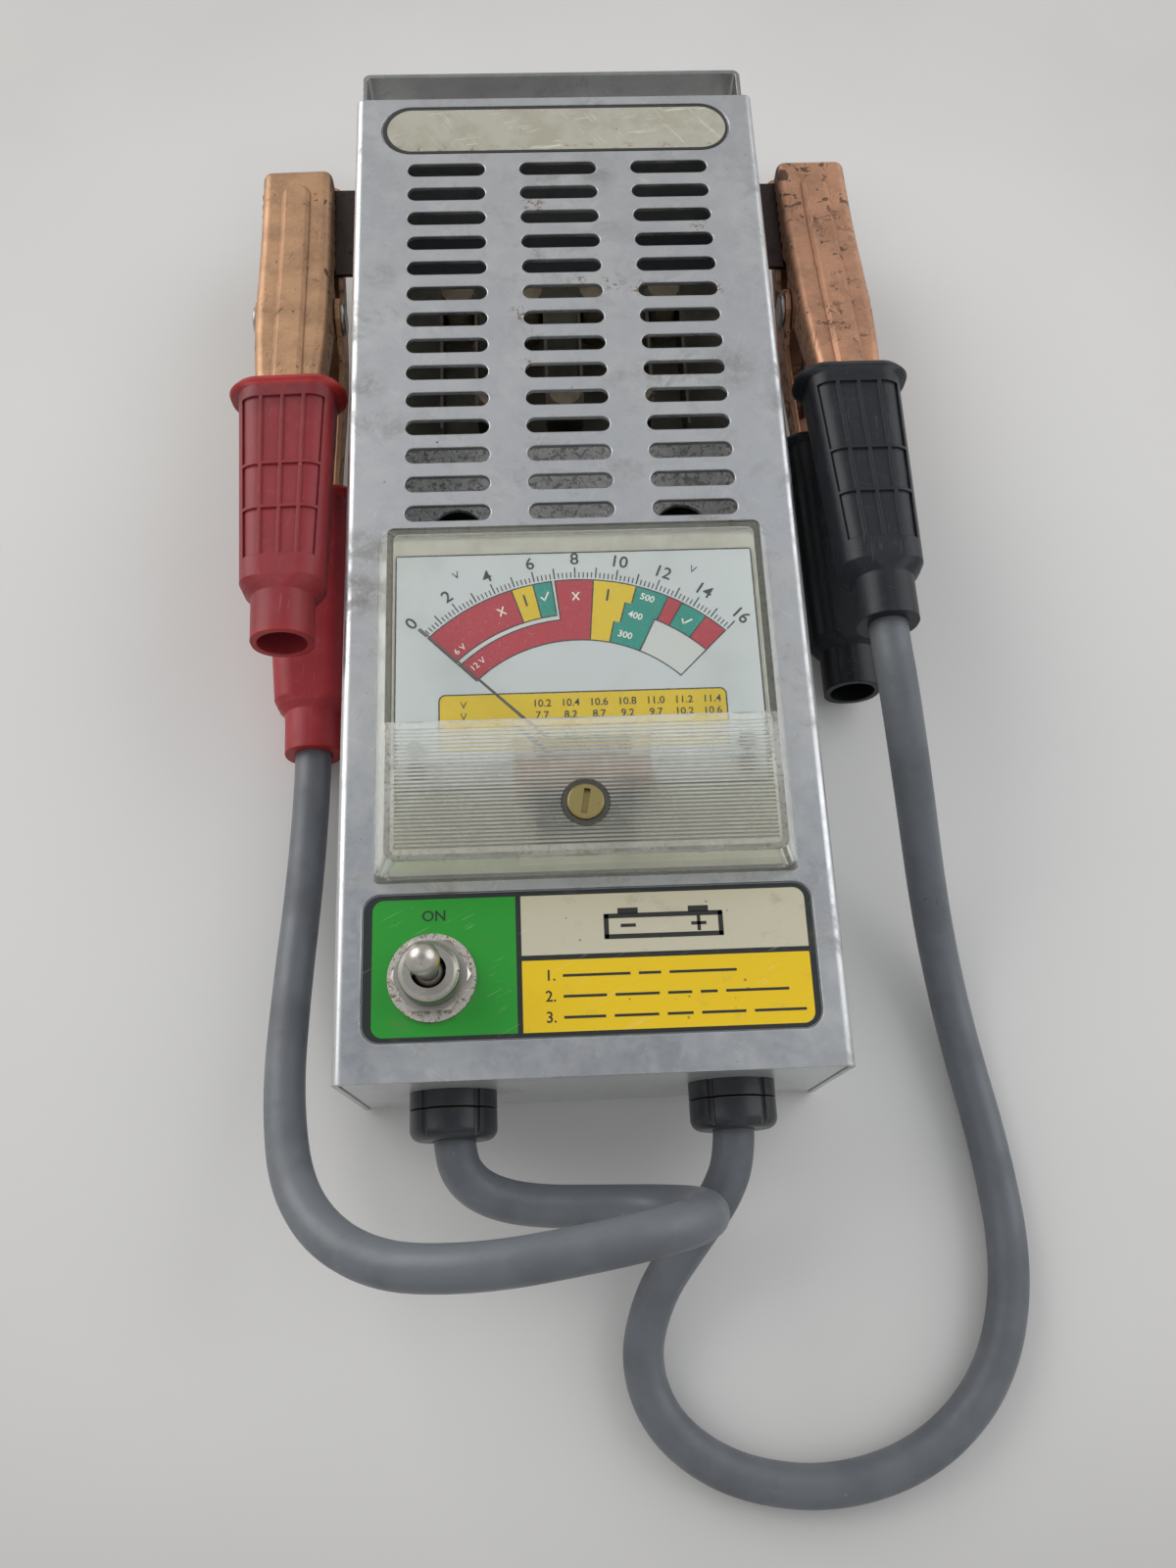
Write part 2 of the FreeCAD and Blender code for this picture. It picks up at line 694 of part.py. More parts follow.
def make_meter_cover():
    """Clear cover with a lower window pane, a step and fine ribs across its lower part."""
    cover = meter_block(0, METER_H, 0)
    window = box(-METER_W, METER_W, y_at(STEP_Y), y_at(METER_Y1) + 1, FRONT + METER_H - STEP_H, FRONT + METER_H + 1)
    cover = cover.cut(window)
    cavity = meter_block(METER_WALL, METER_H - METER_WALL - STEP_H, 1.0)
    cover = cover.cut(cavity)
    ribs = []
    half = METER_W / 2 - METER_SIDE_DRAFT - METER_WALL
    top = FRONT + METER_H
    reach = RIB_GROOVE / 2 * (1 + RIB_LIFT / RIB_DEPTH)
    y = y_at(METER_Y0 + METER_LOW_DRAFT + METER_WALL) + reach
    while y + reach < y_at(STEP_Y - METER_WALL / 2):
        points = [Vector(-half, y - reach, top + RIB_LIFT), Vector(-half, y + reach, top + RIB_LIFT),
                  Vector(-half, y, top - RIB_DEPTH)]
        ribs.append(polygon_prism(points, Vector(2 * half, 0, 0)))
        y += RIB_PITCH
    cover = cover.cut(Part.makeCompound(ribs))
    seat = ZERO_HEAD_D / 2 + 2 * HOLE_FIT
    pad = rod(0, y_at(ZERO_Y), FRONT + METER_H - METER_WALL, seat + 0.8, METER_WALL)
    cover = cover.fuse(pad)
    hole = rod(0, y_at(ZERO_Y), FRONT, ZERO_SHAFT_D / 2 + CABLE_FIT, METER_H + 1)
    counterbore = rod(0, y_at(ZERO_Y), FRONT + METER_H - ZERO_HEAD_H / 2, seat, ZERO_HEAD_H)
    return cover.cut(hole.fuse(counterbore))


def make_meter_case():
    """Tray under the cover with the can that goes through the front."""
    half = METER_W / 2 - METER_WALL - TRAY_FIT
    y0 = y_at(METER_Y0) + METER_WALL + TRAY_FIT
    y1 = y_at(METER_Y1) - METER_WALL - TRAY_FIT
    lean = TRAY_T / METER_H
    tray = Part.makeLoft([
        rounded_face(-half, half, y0, y1, FRONT, METER_R).OuterWire,
        rounded_face(-half + METER_SIDE_DRAFT * lean, half - METER_SIDE_DRAFT * lean, y0 + METER_LOW_DRAFT * lean,
                     y1 - METER_TOP_DRAFT * lean, FRONT + TRAY_T, METER_R).OuterWire,
    ], True, True)
    can = box(-CAN_W / 2, CAN_W / 2, y_at(CAN_Y0), y_at(CAN_Y1), FRONT - CAN_DEPTH, FRONT)
    hollow = box(CAN_WALL - CAN_W / 2, CAN_W / 2 - CAN_WALL, y_at(CAN_Y0) + CAN_WALL, y_at(CAN_Y1) - CAN_WALL,
                 FRONT - CAN_DEPTH + CAN_WALL, FRONT)
    case = tray.fuse(can).cut(hollow)
    cuts = []
    for side in (-1, 1):
        cuts.append(rod(side * STUD_X, y_at(STUD_Y), FRONT - 1, STUD_D / 2 + HOLE_FIT, TRAY_T + 2))
        cuts.append(rod(side * DIAL_SCREW_X, y_at(DIAL_SCREW_Y), FRONT, 1.0 + HOLE_FIT, TRAY_T + 2))
    return case.cut(Part.makeCompound(cuts))


def make_dial_plate():
    """Dial with a notch over the movement."""
    z = FRONT + TRAY_T
    dial = rounded_block(-DIAL_W / 2, DIAL_W / 2, y_at(DIAL_Y0), y_at(DIAL_Y1), z, z + DIAL_T, DIAL_R)
    notch = box(-DIAL_NOTCH_W / 2, DIAL_NOTCH_W / 2, y_at(DIAL_Y0) - 1, y_at(DIAL_Y0) + DIAL_NOTCH_H, z - 1, z + 2)
    cuts = [notch]
    for side in (-1, 1):
        cuts.append(rod(side * DIAL_SCREW_X, y_at(DIAL_SCREW_Y), z - 1, 1.0 + HOLE_FIT, DIAL_T + 2))
    return dial.cut(Part.makeCompound(cuts))


def make_dial_screws():
    """Two small cheese-head screws."""
    z = FRONT + TRAY_T + DIAL_T
    screws = []
    for side in (-1, 1):
        x = side * DIAL_SCREW_X
        screw = rod(x, y_at(DIAL_SCREW_Y), z, 1.9, 1.1).fuse(rod(x, y_at(DIAL_SCREW_Y), FRONT, 1.0, TRAY_T + DIAL_T))
        slot = box(x - 2.5, x + 2.5, y_at(DIAL_SCREW_Y) - 0.25, y_at(DIAL_SCREW_Y) + 0.25, z + 0.6, z + 2)
        screws.append(screw.cut(slot))
    return Part.makeCompound(screws)


def make_movement_magnet():
    """Magnet block on the tray with the lower bearing of the pointer."""
    z = FRONT + TRAY_T
    block = rounded_block(-MAGNET_W / 2, MAGNET_W / 2, y_at(PIVOT_Y) - MAGNET_L * 0.6, y_at(PIVOT_Y) + MAGNET_L * 0.4,
                          z, z + MAGNET_H, 1.5)
    return block.cut(rod(0, y_at(PIVOT_Y), z + MAGNET_H / 2, PIVOT_D / 2 + RIVET_FIT, MAGNET_H))


def bridge_low():
    """Give the underside of the movement's bridge."""
    return FRONT + TRAY_T + POINTER_LIFT + POINTER_T + BRIDGE_GAP


def make_movement_bridge():
    """Bridge bar over the pointer on two posts."""
    low = bridge_low()
    bar = box(-BRIDGE_SPAN / 2, BRIDGE_SPAN / 2, y_at(PIVOT_Y) - BRIDGE_W / 2, y_at(PIVOT_Y) + BRIDGE_W / 2,
              low, low + BRIDGE_T)
    bar = bar.cut(rod(0, y_at(PIVOT_Y), low - 1, PIVOT_D / 2 + RIVET_FIT, 1 + BRIDGE_T / 2))
    boss = rod(0, y_at(PIVOT_Y), low + BRIDGE_T, BRIDGE_W * 0.3, 0.7)
    posts = []
    for side in (-1, 1):
        x = side * (BRIDGE_SPAN / 2 - POST_D / 2)
        posts.append(rod(x, y_at(PIVOT_Y), FRONT + TRAY_T, POST_D / 2, low - FRONT - TRAY_T))
    return bar.fuse(posts + [boss])


def make_pointer():
    """Pointer on its staff, drawn at the zero end of the scale."""
    z = FRONT + TRAY_T + POINTER_LIFT
    low = FRONT + TRAY_T + MAGNET_H / 2 + HOLE_FIT
    staff = rod(0, 0, low, PIVOT_D / 2, bridge_low() + BRIDGE_T / 2 - HOLE_FIT - low)
    hub = rod(0, 0, z - 0.5, PIVOT_D, POINTER_T + 0.9)
    blade = polygon_prism([
        Vector(-POINTER_W, 0, z), Vector(POINTER_W, 0, z), Vector(POINTER_W * 0.35, POINTER_R, z),
        Vector(-POINTER_W * 0.35, POINTER_R, z),
    ], Vector(0, 0, POINTER_T))
    tail = box(-POINTER_W, POINTER_W, -POINTER_TAIL, 0, z, z + POINTER_T)
    weight = rod(0, -POINTER_TAIL, z - 0.5, POINTER_W * 1.3, POINTER_T + 0.9)
    pointer = staff.fuse([hub, blade, tail, weight])
    turn = FreeCAD.Rotation(Vector(0, 0, 1), POINTER_REST)
    pointer.Placement = FreeCAD.Placement(Vector(0, y_at(PIVOT_Y), 0), turn)
    return pointer


def make_zero_screw():
    """Slotted zero screw that turns in the cover."""
    z = FRONT + METER_H - ZERO_HEAD_H / 2
    head = rod(0, 0, z, ZERO_HEAD_D / 2, ZERO_HEAD_H)
    rim = edges_where(head, lambda e, m: abs(m.z - z - ZERO_HEAD_H) < 1e-6 and len(e.Vertexes) == 1)
    head = head.makeChamfer(0.3, rim)
    shaft = rod(0, 0, z - ZERO_SHAFT_L, ZERO_SHAFT_D / 2, ZERO_SHAFT_L)
    pin = rod(0, ZERO_SHAFT_D / 4, z - ZERO_SHAFT_L - 1.0, 0.6, 1.0)
    slot = box(-ZERO_HEAD_D * 0.36, ZERO_HEAD_D * 0.36, -ZERO_SLOT_W / 2, ZERO_SLOT_W / 2,
               z + ZERO_HEAD_H * 0.4, z + ZERO_HEAD_H + 1)
    screw = head.fuse([shaft, pin]).cut(slot)
    turn = FreeCAD.Rotation(Vector(0, 0, 1), ZERO_SLOT_TURN)
    screw.Placement = FreeCAD.Placement(Vector(0, y_at(ZERO_Y), 0), turn)
    return screw


def make_meter_studs():
    """Two studs with nuts that hold the tray on the front."""
    studs = []
    for side in (-1, 1):
        x = side * STUD_X
        stud = rod(x, y_at(STUD_Y), FRONT + TRAY_T - STUD_L, STUD_D / 2, STUD_L)
        nut = rod(x, y_at(STUD_Y), INNER_FRONT - STUD_NUT_H, STUD_NUT_D / 2, STUD_NUT_H)
        studs.append(stud.fuse(nut))
    return Part.makeCompound(studs)


# Switch pieces


def make_switch_body():
    """Moulded switch body under the front."""
    top = INNER_FRONT - PRESS_DEPTH
    x0 = SWITCH_X - SWITCH_BODY_W / 2
    y0 = y_at(SWITCH_Y) - SWITCH_BODY_L / 2
    body = rounded_block(x0, x0 + SWITCH_BODY_W, y0, y0 + SWITCH_BODY_L, top - SWITCH_BODY_H, top, SWITCH_BODY_R)
    well = rod(SWITCH_X, y_at(SWITCH_Y), top - SWITCH_BODY_H / 2, BUSH_BORE / 2, SWITCH_BODY_H)
    return body.cut(well)


def make_switch_bushing():
    """Threaded bushing with a flared mouth."""
    low = INNER_FRONT - PRESS_DEPTH
    top = LABEL_TOP + BUSH_H
    bush = rod(SWITCH_X, y_at(SWITCH_Y), low, BUSH_D / 2, top - low)
    rim = edges_where(bush, lambda e, m: abs(m.z - top) < 1e-6 and len(e.Vertexes) == 1)
    bush = bush.makeChamfer(0.8, rim)
    bush = bush.cut(rod(SWITCH_X, y_at(SWITCH_Y), low - 1, BUSH_BORE / 2, top - low + 2))
    half = LEVER_PIN_L / 2 + HOLE_FIT
    return bush.cut(rod(SWITCH_X - half, y_at(SWITCH_Y), LABEL_TOP + LEVER_PIVOT, LEVER_PIN_D / 2 + RIVET_FIT,
                        2 * half, (1, 0, 0)))


def make_switch_washer():
    """Flat washer on the label."""
    washer = rod(SWITCH_X, y_at(SWITCH_Y), LABEL_TOP, WASHER_D / 2, WASHER_T)
    return washer.cut(rod(SWITCH_X, y_at(SWITCH_Y), LABEL_TOP - 1, BUSH_D / 2 + HOLE_FIT, WASHER_T + 2))


def make_switch_nut():
    """Hexagonal nut with rounded corners."""
    low = LABEL_TOP + WASHER_T
    nut = hexagon(SWITCH_X, y_at(SWITCH_Y), low, HEX_AF, HEX_H)
    cone = Part.makeCone(HEX_AF / 2 + HEX_H * 1.6, HEX_AF / 2, HEX_H * 1.1, Vector(SWITCH_X, y_at(SWITCH_Y), low),
                         Vector(0, 0, 1))
    nut = nut.common(cone)
    return nut.cut(rod(SWITCH_X, y_at(SWITCH_Y), low - 1, BUSH_D / 2 + HOLE_FIT, HEX_H + 2))


def make_switch_lever():
    """Bat lever: pivot ball, tapered neck and ball tip, standing upright."""
    pivot = LABEL_TOP + LEVER_PIVOT
    tip = LABEL_TOP + LEVER_TOP - LEVER_BALL_D / 2
    ball = Part.makeSphere(LEVER_PIVOT_D / 2, Vector(0, 0, pivot))
    neck = Part.makeCone(LEVER_NECK_D / 2, LEVER_BALL_D * 0.42, tip - pivot, Vector(0, 0, pivot), Vector(0, 0, 1))
    knob = Part.makeSphere(LEVER_BALL_D / 2, Vector(0, 0, tip))
    tail = rod(0, 0, pivot - LEVER_TAIL, LEVER_NECK_D * 0.4, LEVER_TAIL)
    pin = rod(-LEVER_PIN_L / 2, 0, pivot, LEVER_PIN_D / 2, LEVER_PIN_L, (1, 0, 0))
    lever = ball.fuse([neck, knob, tail, pin])
    lever.Placement = FreeCAD.Placement(Vector(SWITCH_X, y_at(SWITCH_Y), 0), FreeCAD.Rotation())
    return lever


def make_switch_terminals():
    """Two screw terminals under the body."""
    top = INNER_FRONT - PRESS_DEPTH - SWITCH_BODY_H
    posts = []
    for side in (-1, 1):
        y = y_at(SWITCH_Y) + side * TERMINAL_STEP / 2
        post = rod(SWITCH_X, y, top - TERMINAL_L, TERMINAL_D / 2, TERMINAL_L)
        posts.append(post.fuse(rod(SWITCH_X, y, top - TERMINAL_FLANGE_T, TERMINAL_FLANGE_D / 2, TERMINAL_FLANGE_T)))
    return Part.makeCompound(posts)


# Load pieces


def run_x(index):
    """Give the X of one run of the folded ribbon."""
    return (index - (RUNS - 1) / 2) * RUN_PITCH


def make_load_ribbon():
    """Resistance strip folded round the posts, standing on edge."""
    z = BOARD_Z + BOARD_T + (POST_H - RIBBON_H) / 2
    half = RIBBON_T / 2
    radius = RUN_PITCH / 2
    pieces = []
    for index in range(RUNS):
        low = RIBBON_LOW_Y if 0 < index < RUNS - 1 else RIBBON_LOW_Y - RIBBON_TAIL
        pieces.append(box(run_x(index) - half, run_x(index) + half, y_at(low), y_at(RIBBON_TOP_Y), z, z + RIBBON_H))
    for index in range(RUNS - 1):
        x = run_x(index) + radius
        upper = index % 2 == 0
        y = y_at(RIBBON_TOP_Y if upper else RIBBON_LOW_Y)
        ring = rod(x, y, z, radius + half, RIBBON_H).cut(rod(x, y, z - 1, radius - half, RIBBON_H + 2))
        far = 2 * RUN_PITCH
        keep = box(x - far, x + far, y, y + far, z, z + RIBBON_H)
        if not upper:
            keep = box(x - far, x + far, y - far, y, z, z + RIBBON_H)
        pieces.append(ring.common(keep))
    return pieces[0].fuse(pieces[1:]).removeSplitter()


def make_load_posts():
    """Ceramic posts inside the ribbon's folds."""
    radius = (RUN_PITCH - RIBBON_T) / 2 - POST_FIT
    posts = []
    for index in range(RUNS - 1):
        x = run_x(index) + RUN_PITCH / 2
        y = y_at(RIBBON_TOP_Y if index % 2 == 0 else RIBBON_LOW_Y)
        posts.append(rod(x, y, BOARD_Z + BOARD_T, radius, POST_H))
    return Part.makeCompound(posts)


def make_load_board():
    """Insulating board that carries the posts."""
    return rounded_block(-BOARD_W / 2, BOARD_W / 2, y_at(BOARD_Y0), y_at(BOARD_Y1), BOARD_Z, BOARD_Z + BOARD_T, 3.0)


def make_board_spacers():
    """Four spacers between back plate and board."""
    spacers = []
    for x in (-BOARD_W / 2 + SPACER_INSET, BOARD_W / 2 - SPACER_INSET):
        for y in (BOARD_Y0 + SPACER_INSET, BOARD_Y1 - SPACER_INSET):
            spacers.append(rod(x, y_at(y), SHEET, SPACER_D / 2, BOARD_Z - SHEET))
    return Part.makeCompound(spacers)


def make_heat_shield():
    """Galvanised bridge plate on two feet, with two round holes."""
    half = SHIELD_W / 2
    profile = [
        Vector(-half, 0, SHEET), Vector(-half + SHIELD_FOOT, 0, SHEET), Vector(-half + SHIELD_FOOT, 0, 2 * SHEET),
        Vector(-half + SHEET, 0, 2 * SHEET), Vector(-half + SHEET, 0, SHIELD_Z - SHEET),
        Vector(half - SHEET, 0, SHIELD_Z - SHEET), Vector(half - SHEET, 0, 2 * SHEET),
        Vector(half - SHIELD_FOOT, 0, 2 * SHEET), Vector(half - SHIELD_FOOT, 0, SHEET), Vector(half, 0, SHEET),
        Vector(half, 0, SHIELD_Z), Vector(-half, 0, SHIELD_Z),
    ]
    shield = polygon_prism(profile, Vector(0, SHIELD_Y1 - SHIELD_Y0, 0))
    shield.translate(Vector(0, y_at(SHIELD_Y0), 0))
    holes = []
    for side in (-1, 1):
        holes.append(rod(side * SHIELD_HOLE_X, y_at(SHIELD_HOLE_Y), SHIELD_Z - SHEET - 1, SHIELD_HOLE_D / 2, SHEET + 2))
    return shield.cut(Part.makeCompound(holes))


def make_inner_leads():
    """Leads from gland to switch, switch to ribbon and ribbon to gland."""
    blind = END + END_REVEAL
    terminal_z = INNER_FRONT - PRESS_DEPTH - SWITCH_BODY_H - TERMINAL_FLANGE_T - LEAD_D / 2 - LEAD_GAP
    reach = TERMINAL_STEP / 2 + TERMINAL_D / 2 + 3 * LEAD_GAP
    ribbon_y = y_at(RIBBON_LOW_Y - RIBBON_TAIL) - LEAD_GAP
    ribbon_z = BOARD_Z + BOARD_T + (POST_H - RIBBON_H + LEAD_D) / 2
    mouth = blind + SHEET + GLAND_THREAD_L
    short = [
        Vector(-GLAND_X, blind, GLAND_Z),
        Vector(-GLAND_X, mouth + LEAD_D / 4, GLAND_Z),
        Vector(-GLAND_X, y_at(SWITCH_Y) - reach - 2 * LEAD_GAP, terminal_z),
    ]
    load = [Vector(SWITCH_X, y_at(SWITCH_Y) + reach, terminal_z)]
    load += [Vector(x, load[0].y + share * (ribbon_y - load[0].y), z) for x, share, z in LOAD_LEAD_ROUTE]
    load += [Vector(run_x(0), ribbon_y - 2 * LEAD_D, ribbon_z - LEAD_D / 3), Vector(run_x(0), ribbon_y, ribbon_z)]
    back = [Vector(GLAND_X, blind, GLAND_Z), Vector(GLAND_X, mouth + LEAD_D / 2, GLAND_Z)]
    back += [Vector(x, mouth + share * (ribbon_y - mouth), z) for x, share, z in RETURN_LEAD_ROUTE]
    last = run_x(RUNS - 1)
    back += [Vector(last, ribbon_y - 2 * LEAD_D, ribbon_z - LEAD_D / 3), Vector(last, ribbon_y, ribbon_z)]
    named = (("switch lead", short), ("load lead", load), ("return lead", back))
    return Part.makeCompound([tube(points, LEAD_D, label) for label, points in named])


# Glands


def lobed(y0, length, end_radius):
    """Ring of flat lobes about the gland's axis, from one Y towards the cable."""
    blank = rod(0, y0, 0, GLAND_D / 2, length, (0, -1, 0))
    if end_radius:
        rim = edges_where(blank, lambda e, m: abs(m.y - y0 + length) < 1e-6 and len(e.Vertexes) == 1)
        blank = blank.makeFillet(end_radius, rim)
    grooves = []
    for index in range(GLAND_LOBES):
        angle = 2 * math.pi * (index + 0.5) / GLAND_LOBES
        x = GLAND_D / 2 * math.sin(angle)
        z = GLAND_D / 2 * math.cos(angle)
        grooves.append(rod(x, y0 + 1, z, GLAND_GROOVE / 2, length + 2, (0, -1, 0)))
    return blank.cut(Part.makeCompound(grooves))


def make_gland_body(side):
    """Gland body: lobed flange outside the end wall and its thread through it."""
    wall = END + END_REVEAL
    body = lobed(wall, GLAND_BODY_L, 0)
    neck = rod(0, wall + SHEET + GLAND_THREAD_L, 0, GLAND_NECK_D / 2,
               SHEET + GLAND_THREAD_L + GLAND_BODY_L + GLAND_SEAM, (0, -1, 0))
    body = body.fuse(neck)
    bore = rod(0, wall + SHEET + GLAND_THREAD_L + 1, 0, LEAD_D / 2 + CABLE_FIT, SHEET + GLAND_THREAD_L + 1, (0, -1, 0))
    body = body.cut(bore)
    body.translate(Vector(side * GLAND_X, 0, GLAND_Z))
    return body


def make_gland_nut(side):
    """Lobed nut with a rounded end and the cable's bore."""
    face = END + END_REVEAL - GLAND_BODY_L - GLAND_SEAM
    nut = lobed(face, GLAND_NUT_L, GLAND_END_R)
    nut = nut.cut(rod(0, face + 1, 0, CABLE_D / 2 + CABLE_FIT, GLAND_NUT_L + 2, (0, -1, 0)))
    nut.translate(Vector(side * GLAND_X, 0, GLAND_Z))
    return nut


def make_gland_locknuts():
    """Round locknuts on the inside of the end wall."""
    face = END + END_REVEAL + SHEET
    nuts = []
    for side in (-1, 1):
        nut = rod(side * GLAND_X, face, GLAND_Z, LOCKNUT_D / 2, LOCKNUT_L, (0, 1, 0))
        hole = rod(side * GLAND_X, face - 1, GLAND_Z, GLAND_NECK_D / 2 + HOLE_FIT, LOCKNUT_L + 2, (0, 1, 0))
        nuts.append(nut.cut(hole))
    return Part.makeCompound(nuts)


# Clamps


def crown_z(y):
    """Give the height of the jaw's back at one place along the clamp."""
    line = ((TIP_Y, TIP_Z), (KNEE_Y, KNEE_Z), (0.0, CROWN_Z), (HEEL_Y, HEEL_Z), (ARM_END_Y, ARM_END_Z))
    for (ya, za), (yb, zb) in zip(line, line[1:]):
        if y >= yb:
            return za + (zb - za) * (ya - y) / (ya - yb)
    (ya, za), (yb, zb) = line[-2:]
    return za + (zb - za) * (ya - y) / (ya - yb)


def arm_mid(y):
    """Give the height of the middle of the arm."""
    return crown_z(y) - ARM_DEPTH / 2


def closed_face(edges, loop):
    """Close a run of edges by straight sides and fill it."""
    sides = [Part.LineSegment(one, two).toShape() for one, two in zip(loop, loop[1:])]
    return Part.Face(Part.Wire(edges + sides))


def half_profile(drop, low, tip, end):
    """Side outline of one clamp half, its back lowered by a wall."""
    back = [Vector(0, y, crown_z(y) - drop) for y in (tip, KNEE_Y, 0.0, HEEL_Y, end)]
    return closed_face(round_path(back)[0].Edges, [back[-1]] + low + [back[0]])


def across(face, half_w):
    """Extrude a side outline to both sides of the clamp's middle."""
    solid = face.extrude(Vector(2 * half_w, 0, 0))
    solid.translate(Vector(-half_w, 0, 0))
    return solid


def plan_block(half_w, arm_w, inset, tip, end):
    """Plan outline of one clamp half, full width at the jaw and narrow along the arm."""
    wide = half_w - inset
    narrow = arm_w - inset
    middle = narrow + (wide - narrow) * 0.4
    right = [(wide, tip), (wide, HEEL_Y * 0.4), (middle, HEEL_Y * 1.2), (narrow, end)]
    down = [Vector(x, y, -40) for x, y in right]
    up = [Vector(-x, y, -40) for x, y in reversed(right)]
    edges = round_path(down)[0].Edges
    edges.append(Part.LineSegment(down[-1], up[0]).toShape())
    edges += round_path(up)[0].Edges
    return closed_face(edges, [up[-1], down[0]]).extrude(Vector(0, 0, 80))


def make_clamp_half(half_w):
    """Upper half of a clamp: a pressed channel with teeth, pivot lugs and a stiffening rib."""
    bite = SHEET / 2 + BITE_FIT
    lug = []
    for turn in (20, 55, 90, 125, 160):
        angle = math.radians(turn)
        lug.append(Vector(0, -LUG_R * math.cos(angle), -LUG_R * math.sin(angle)))
    low = [
        Vector(0, ARM_END_Y, crown_z(ARM_END_Y) - ARM_DEPTH),
        Vector(0, HEEL_Y, crown_z(HEEL_Y) - ARM_DEPTH),
        Vector(0, -LUG_R - 3, THROAT_Z),
    ]
    low += lug
    low += [
        Vector(0, LUG_R + 2, THROAT_Z),
        Vector(0, TEETH_END - THROAT_L / 2, THROAT_Z),
        Vector(0, TEETH_END, bite),
        Vector(0, TIP_Y, bite),
    ]
    outer = across(half_profile(0, low, TIP_Y, ARM_END_Y), half_w)
    outer = outer.common(plan_block(half_w, ARM_HALF_W, 0, TIP_Y, ARM_END_Y)).removeSplitter()

    def is_back(edge, middle):
        """Tell the edges along the back and round the tip."""
        if middle.y < ARM_END_Y + 0.1:
            return False
        on_tip = abs(middle.y - TIP_Y) < 1e-6 and middle.z > bite + 0.1
        return on_tip or (abs(middle.z - crown_z(middle.y)) < 0.4 and abs(middle.x) > 1)

    outer = outer.makeFillet(JAW_EDGE_R, edges_where(outer, is_back))
    deep = [Vector(0, ARM_END_Y - 1, -30), Vector(0, TIP_Y - CLAMP_SHEET, -30)]
    inner = across(half_profile(CLAMP_SHEET, deep, TIP_Y - CLAMP_SHEET, ARM_END_Y - 1), half_w)
    inner = inner.common(plan_block(half_w, ARM_HALF_W, CLAMP_SHEET, TIP_Y - CLAMP_SHEET, ARM_END_Y - 1))
    half = outer.cut(inner)
    root = CLAMP_SHEET * 0.7
    rib_end = BOOT_Y + 1
    rib_low = [Vector(0, y, crown_z(y) - root) for y in (rib_end, HEEL_Y, 0.0, KNEE_Y, TIP_Y)]
    rib = across(half_profile(-RIB_H, rib_low, TIP_Y, rib_end), RIB_W / 2)
    plan = rounded_block(-RIB_W / 2, RIB_W / 2, BOOT_Y - RIB_W, RIB_START, -40, 40, RIB_W / 2 - 1e-3)
    rib = rib.common(plan).removeSplitter()

    def is_crest(edge, middle):
        """Tell the edges round the rib's top."""
        return middle.z > crown_z(middle.y) + RIB_H * 0.6 and middle.y > rib_end + 0.1

    rib = rib.makeChamfer(RIB_H * 0.7, edges_where(rib, is_crest))
    half = half.fuse(rib)
    cuts = [rod(-half_w - 1, 0, 0, RIVET_D / 2 + RIVET_FIT, 2 * half_w + 2, (1, 0, 0))]
    y = TIP_Y - CLAMP_SHEET - TOOTH_FLAT
    while y - TOOTH_PITCH > TEETH_END:
        notch = [Vector(-half_w - 1, y, bite - 0.5), Vector(-half_w - 1, y - TOOTH_PITCH + TOOTH_FLAT, bite - 0.5),
                 Vector(-half_w - 1, y - TOOTH_PITCH + TOOTH_FLAT, bite),
                 Vector(-half_w - 1, y - (TOOTH_PITCH - TOOTH_FLAT) / 2, bite + TOOTH_DEPTH),
                 Vector(-half_w - 1, y, bite)]
        cuts.append(polygon_prism(notch, Vector(2 * half_w + 2, 0, 0)))
        y -= TOOTH_PITCH
    return half.cut(Part.makeCompound(cuts))


def make_rivet():
    """Pivot rivet with a head on both sides."""
    span = OUTER_HALF_W + 2 * RIVET_FIT
    rivet = rod(-span, 0, 0, RIVET_D / 2, 2 * span, (1, 0, 0))
    heads = []
    for side in (-1, 1):
        head = rod(side * span, 0, 0, RIVET_HEAD_D / 2, RIVET_HEAD_H, (side, 0, 0))
        rim = edges_where(head, lambda e, m: abs(abs(m.x) - span - RIVET_HEAD_H) < 1e-6 and len(e.Vertexes) == 1)
        heads.append(head.makeFillet(RIVET_HEAD_H * 0.7, rim))
    return rivet.fuse(heads)


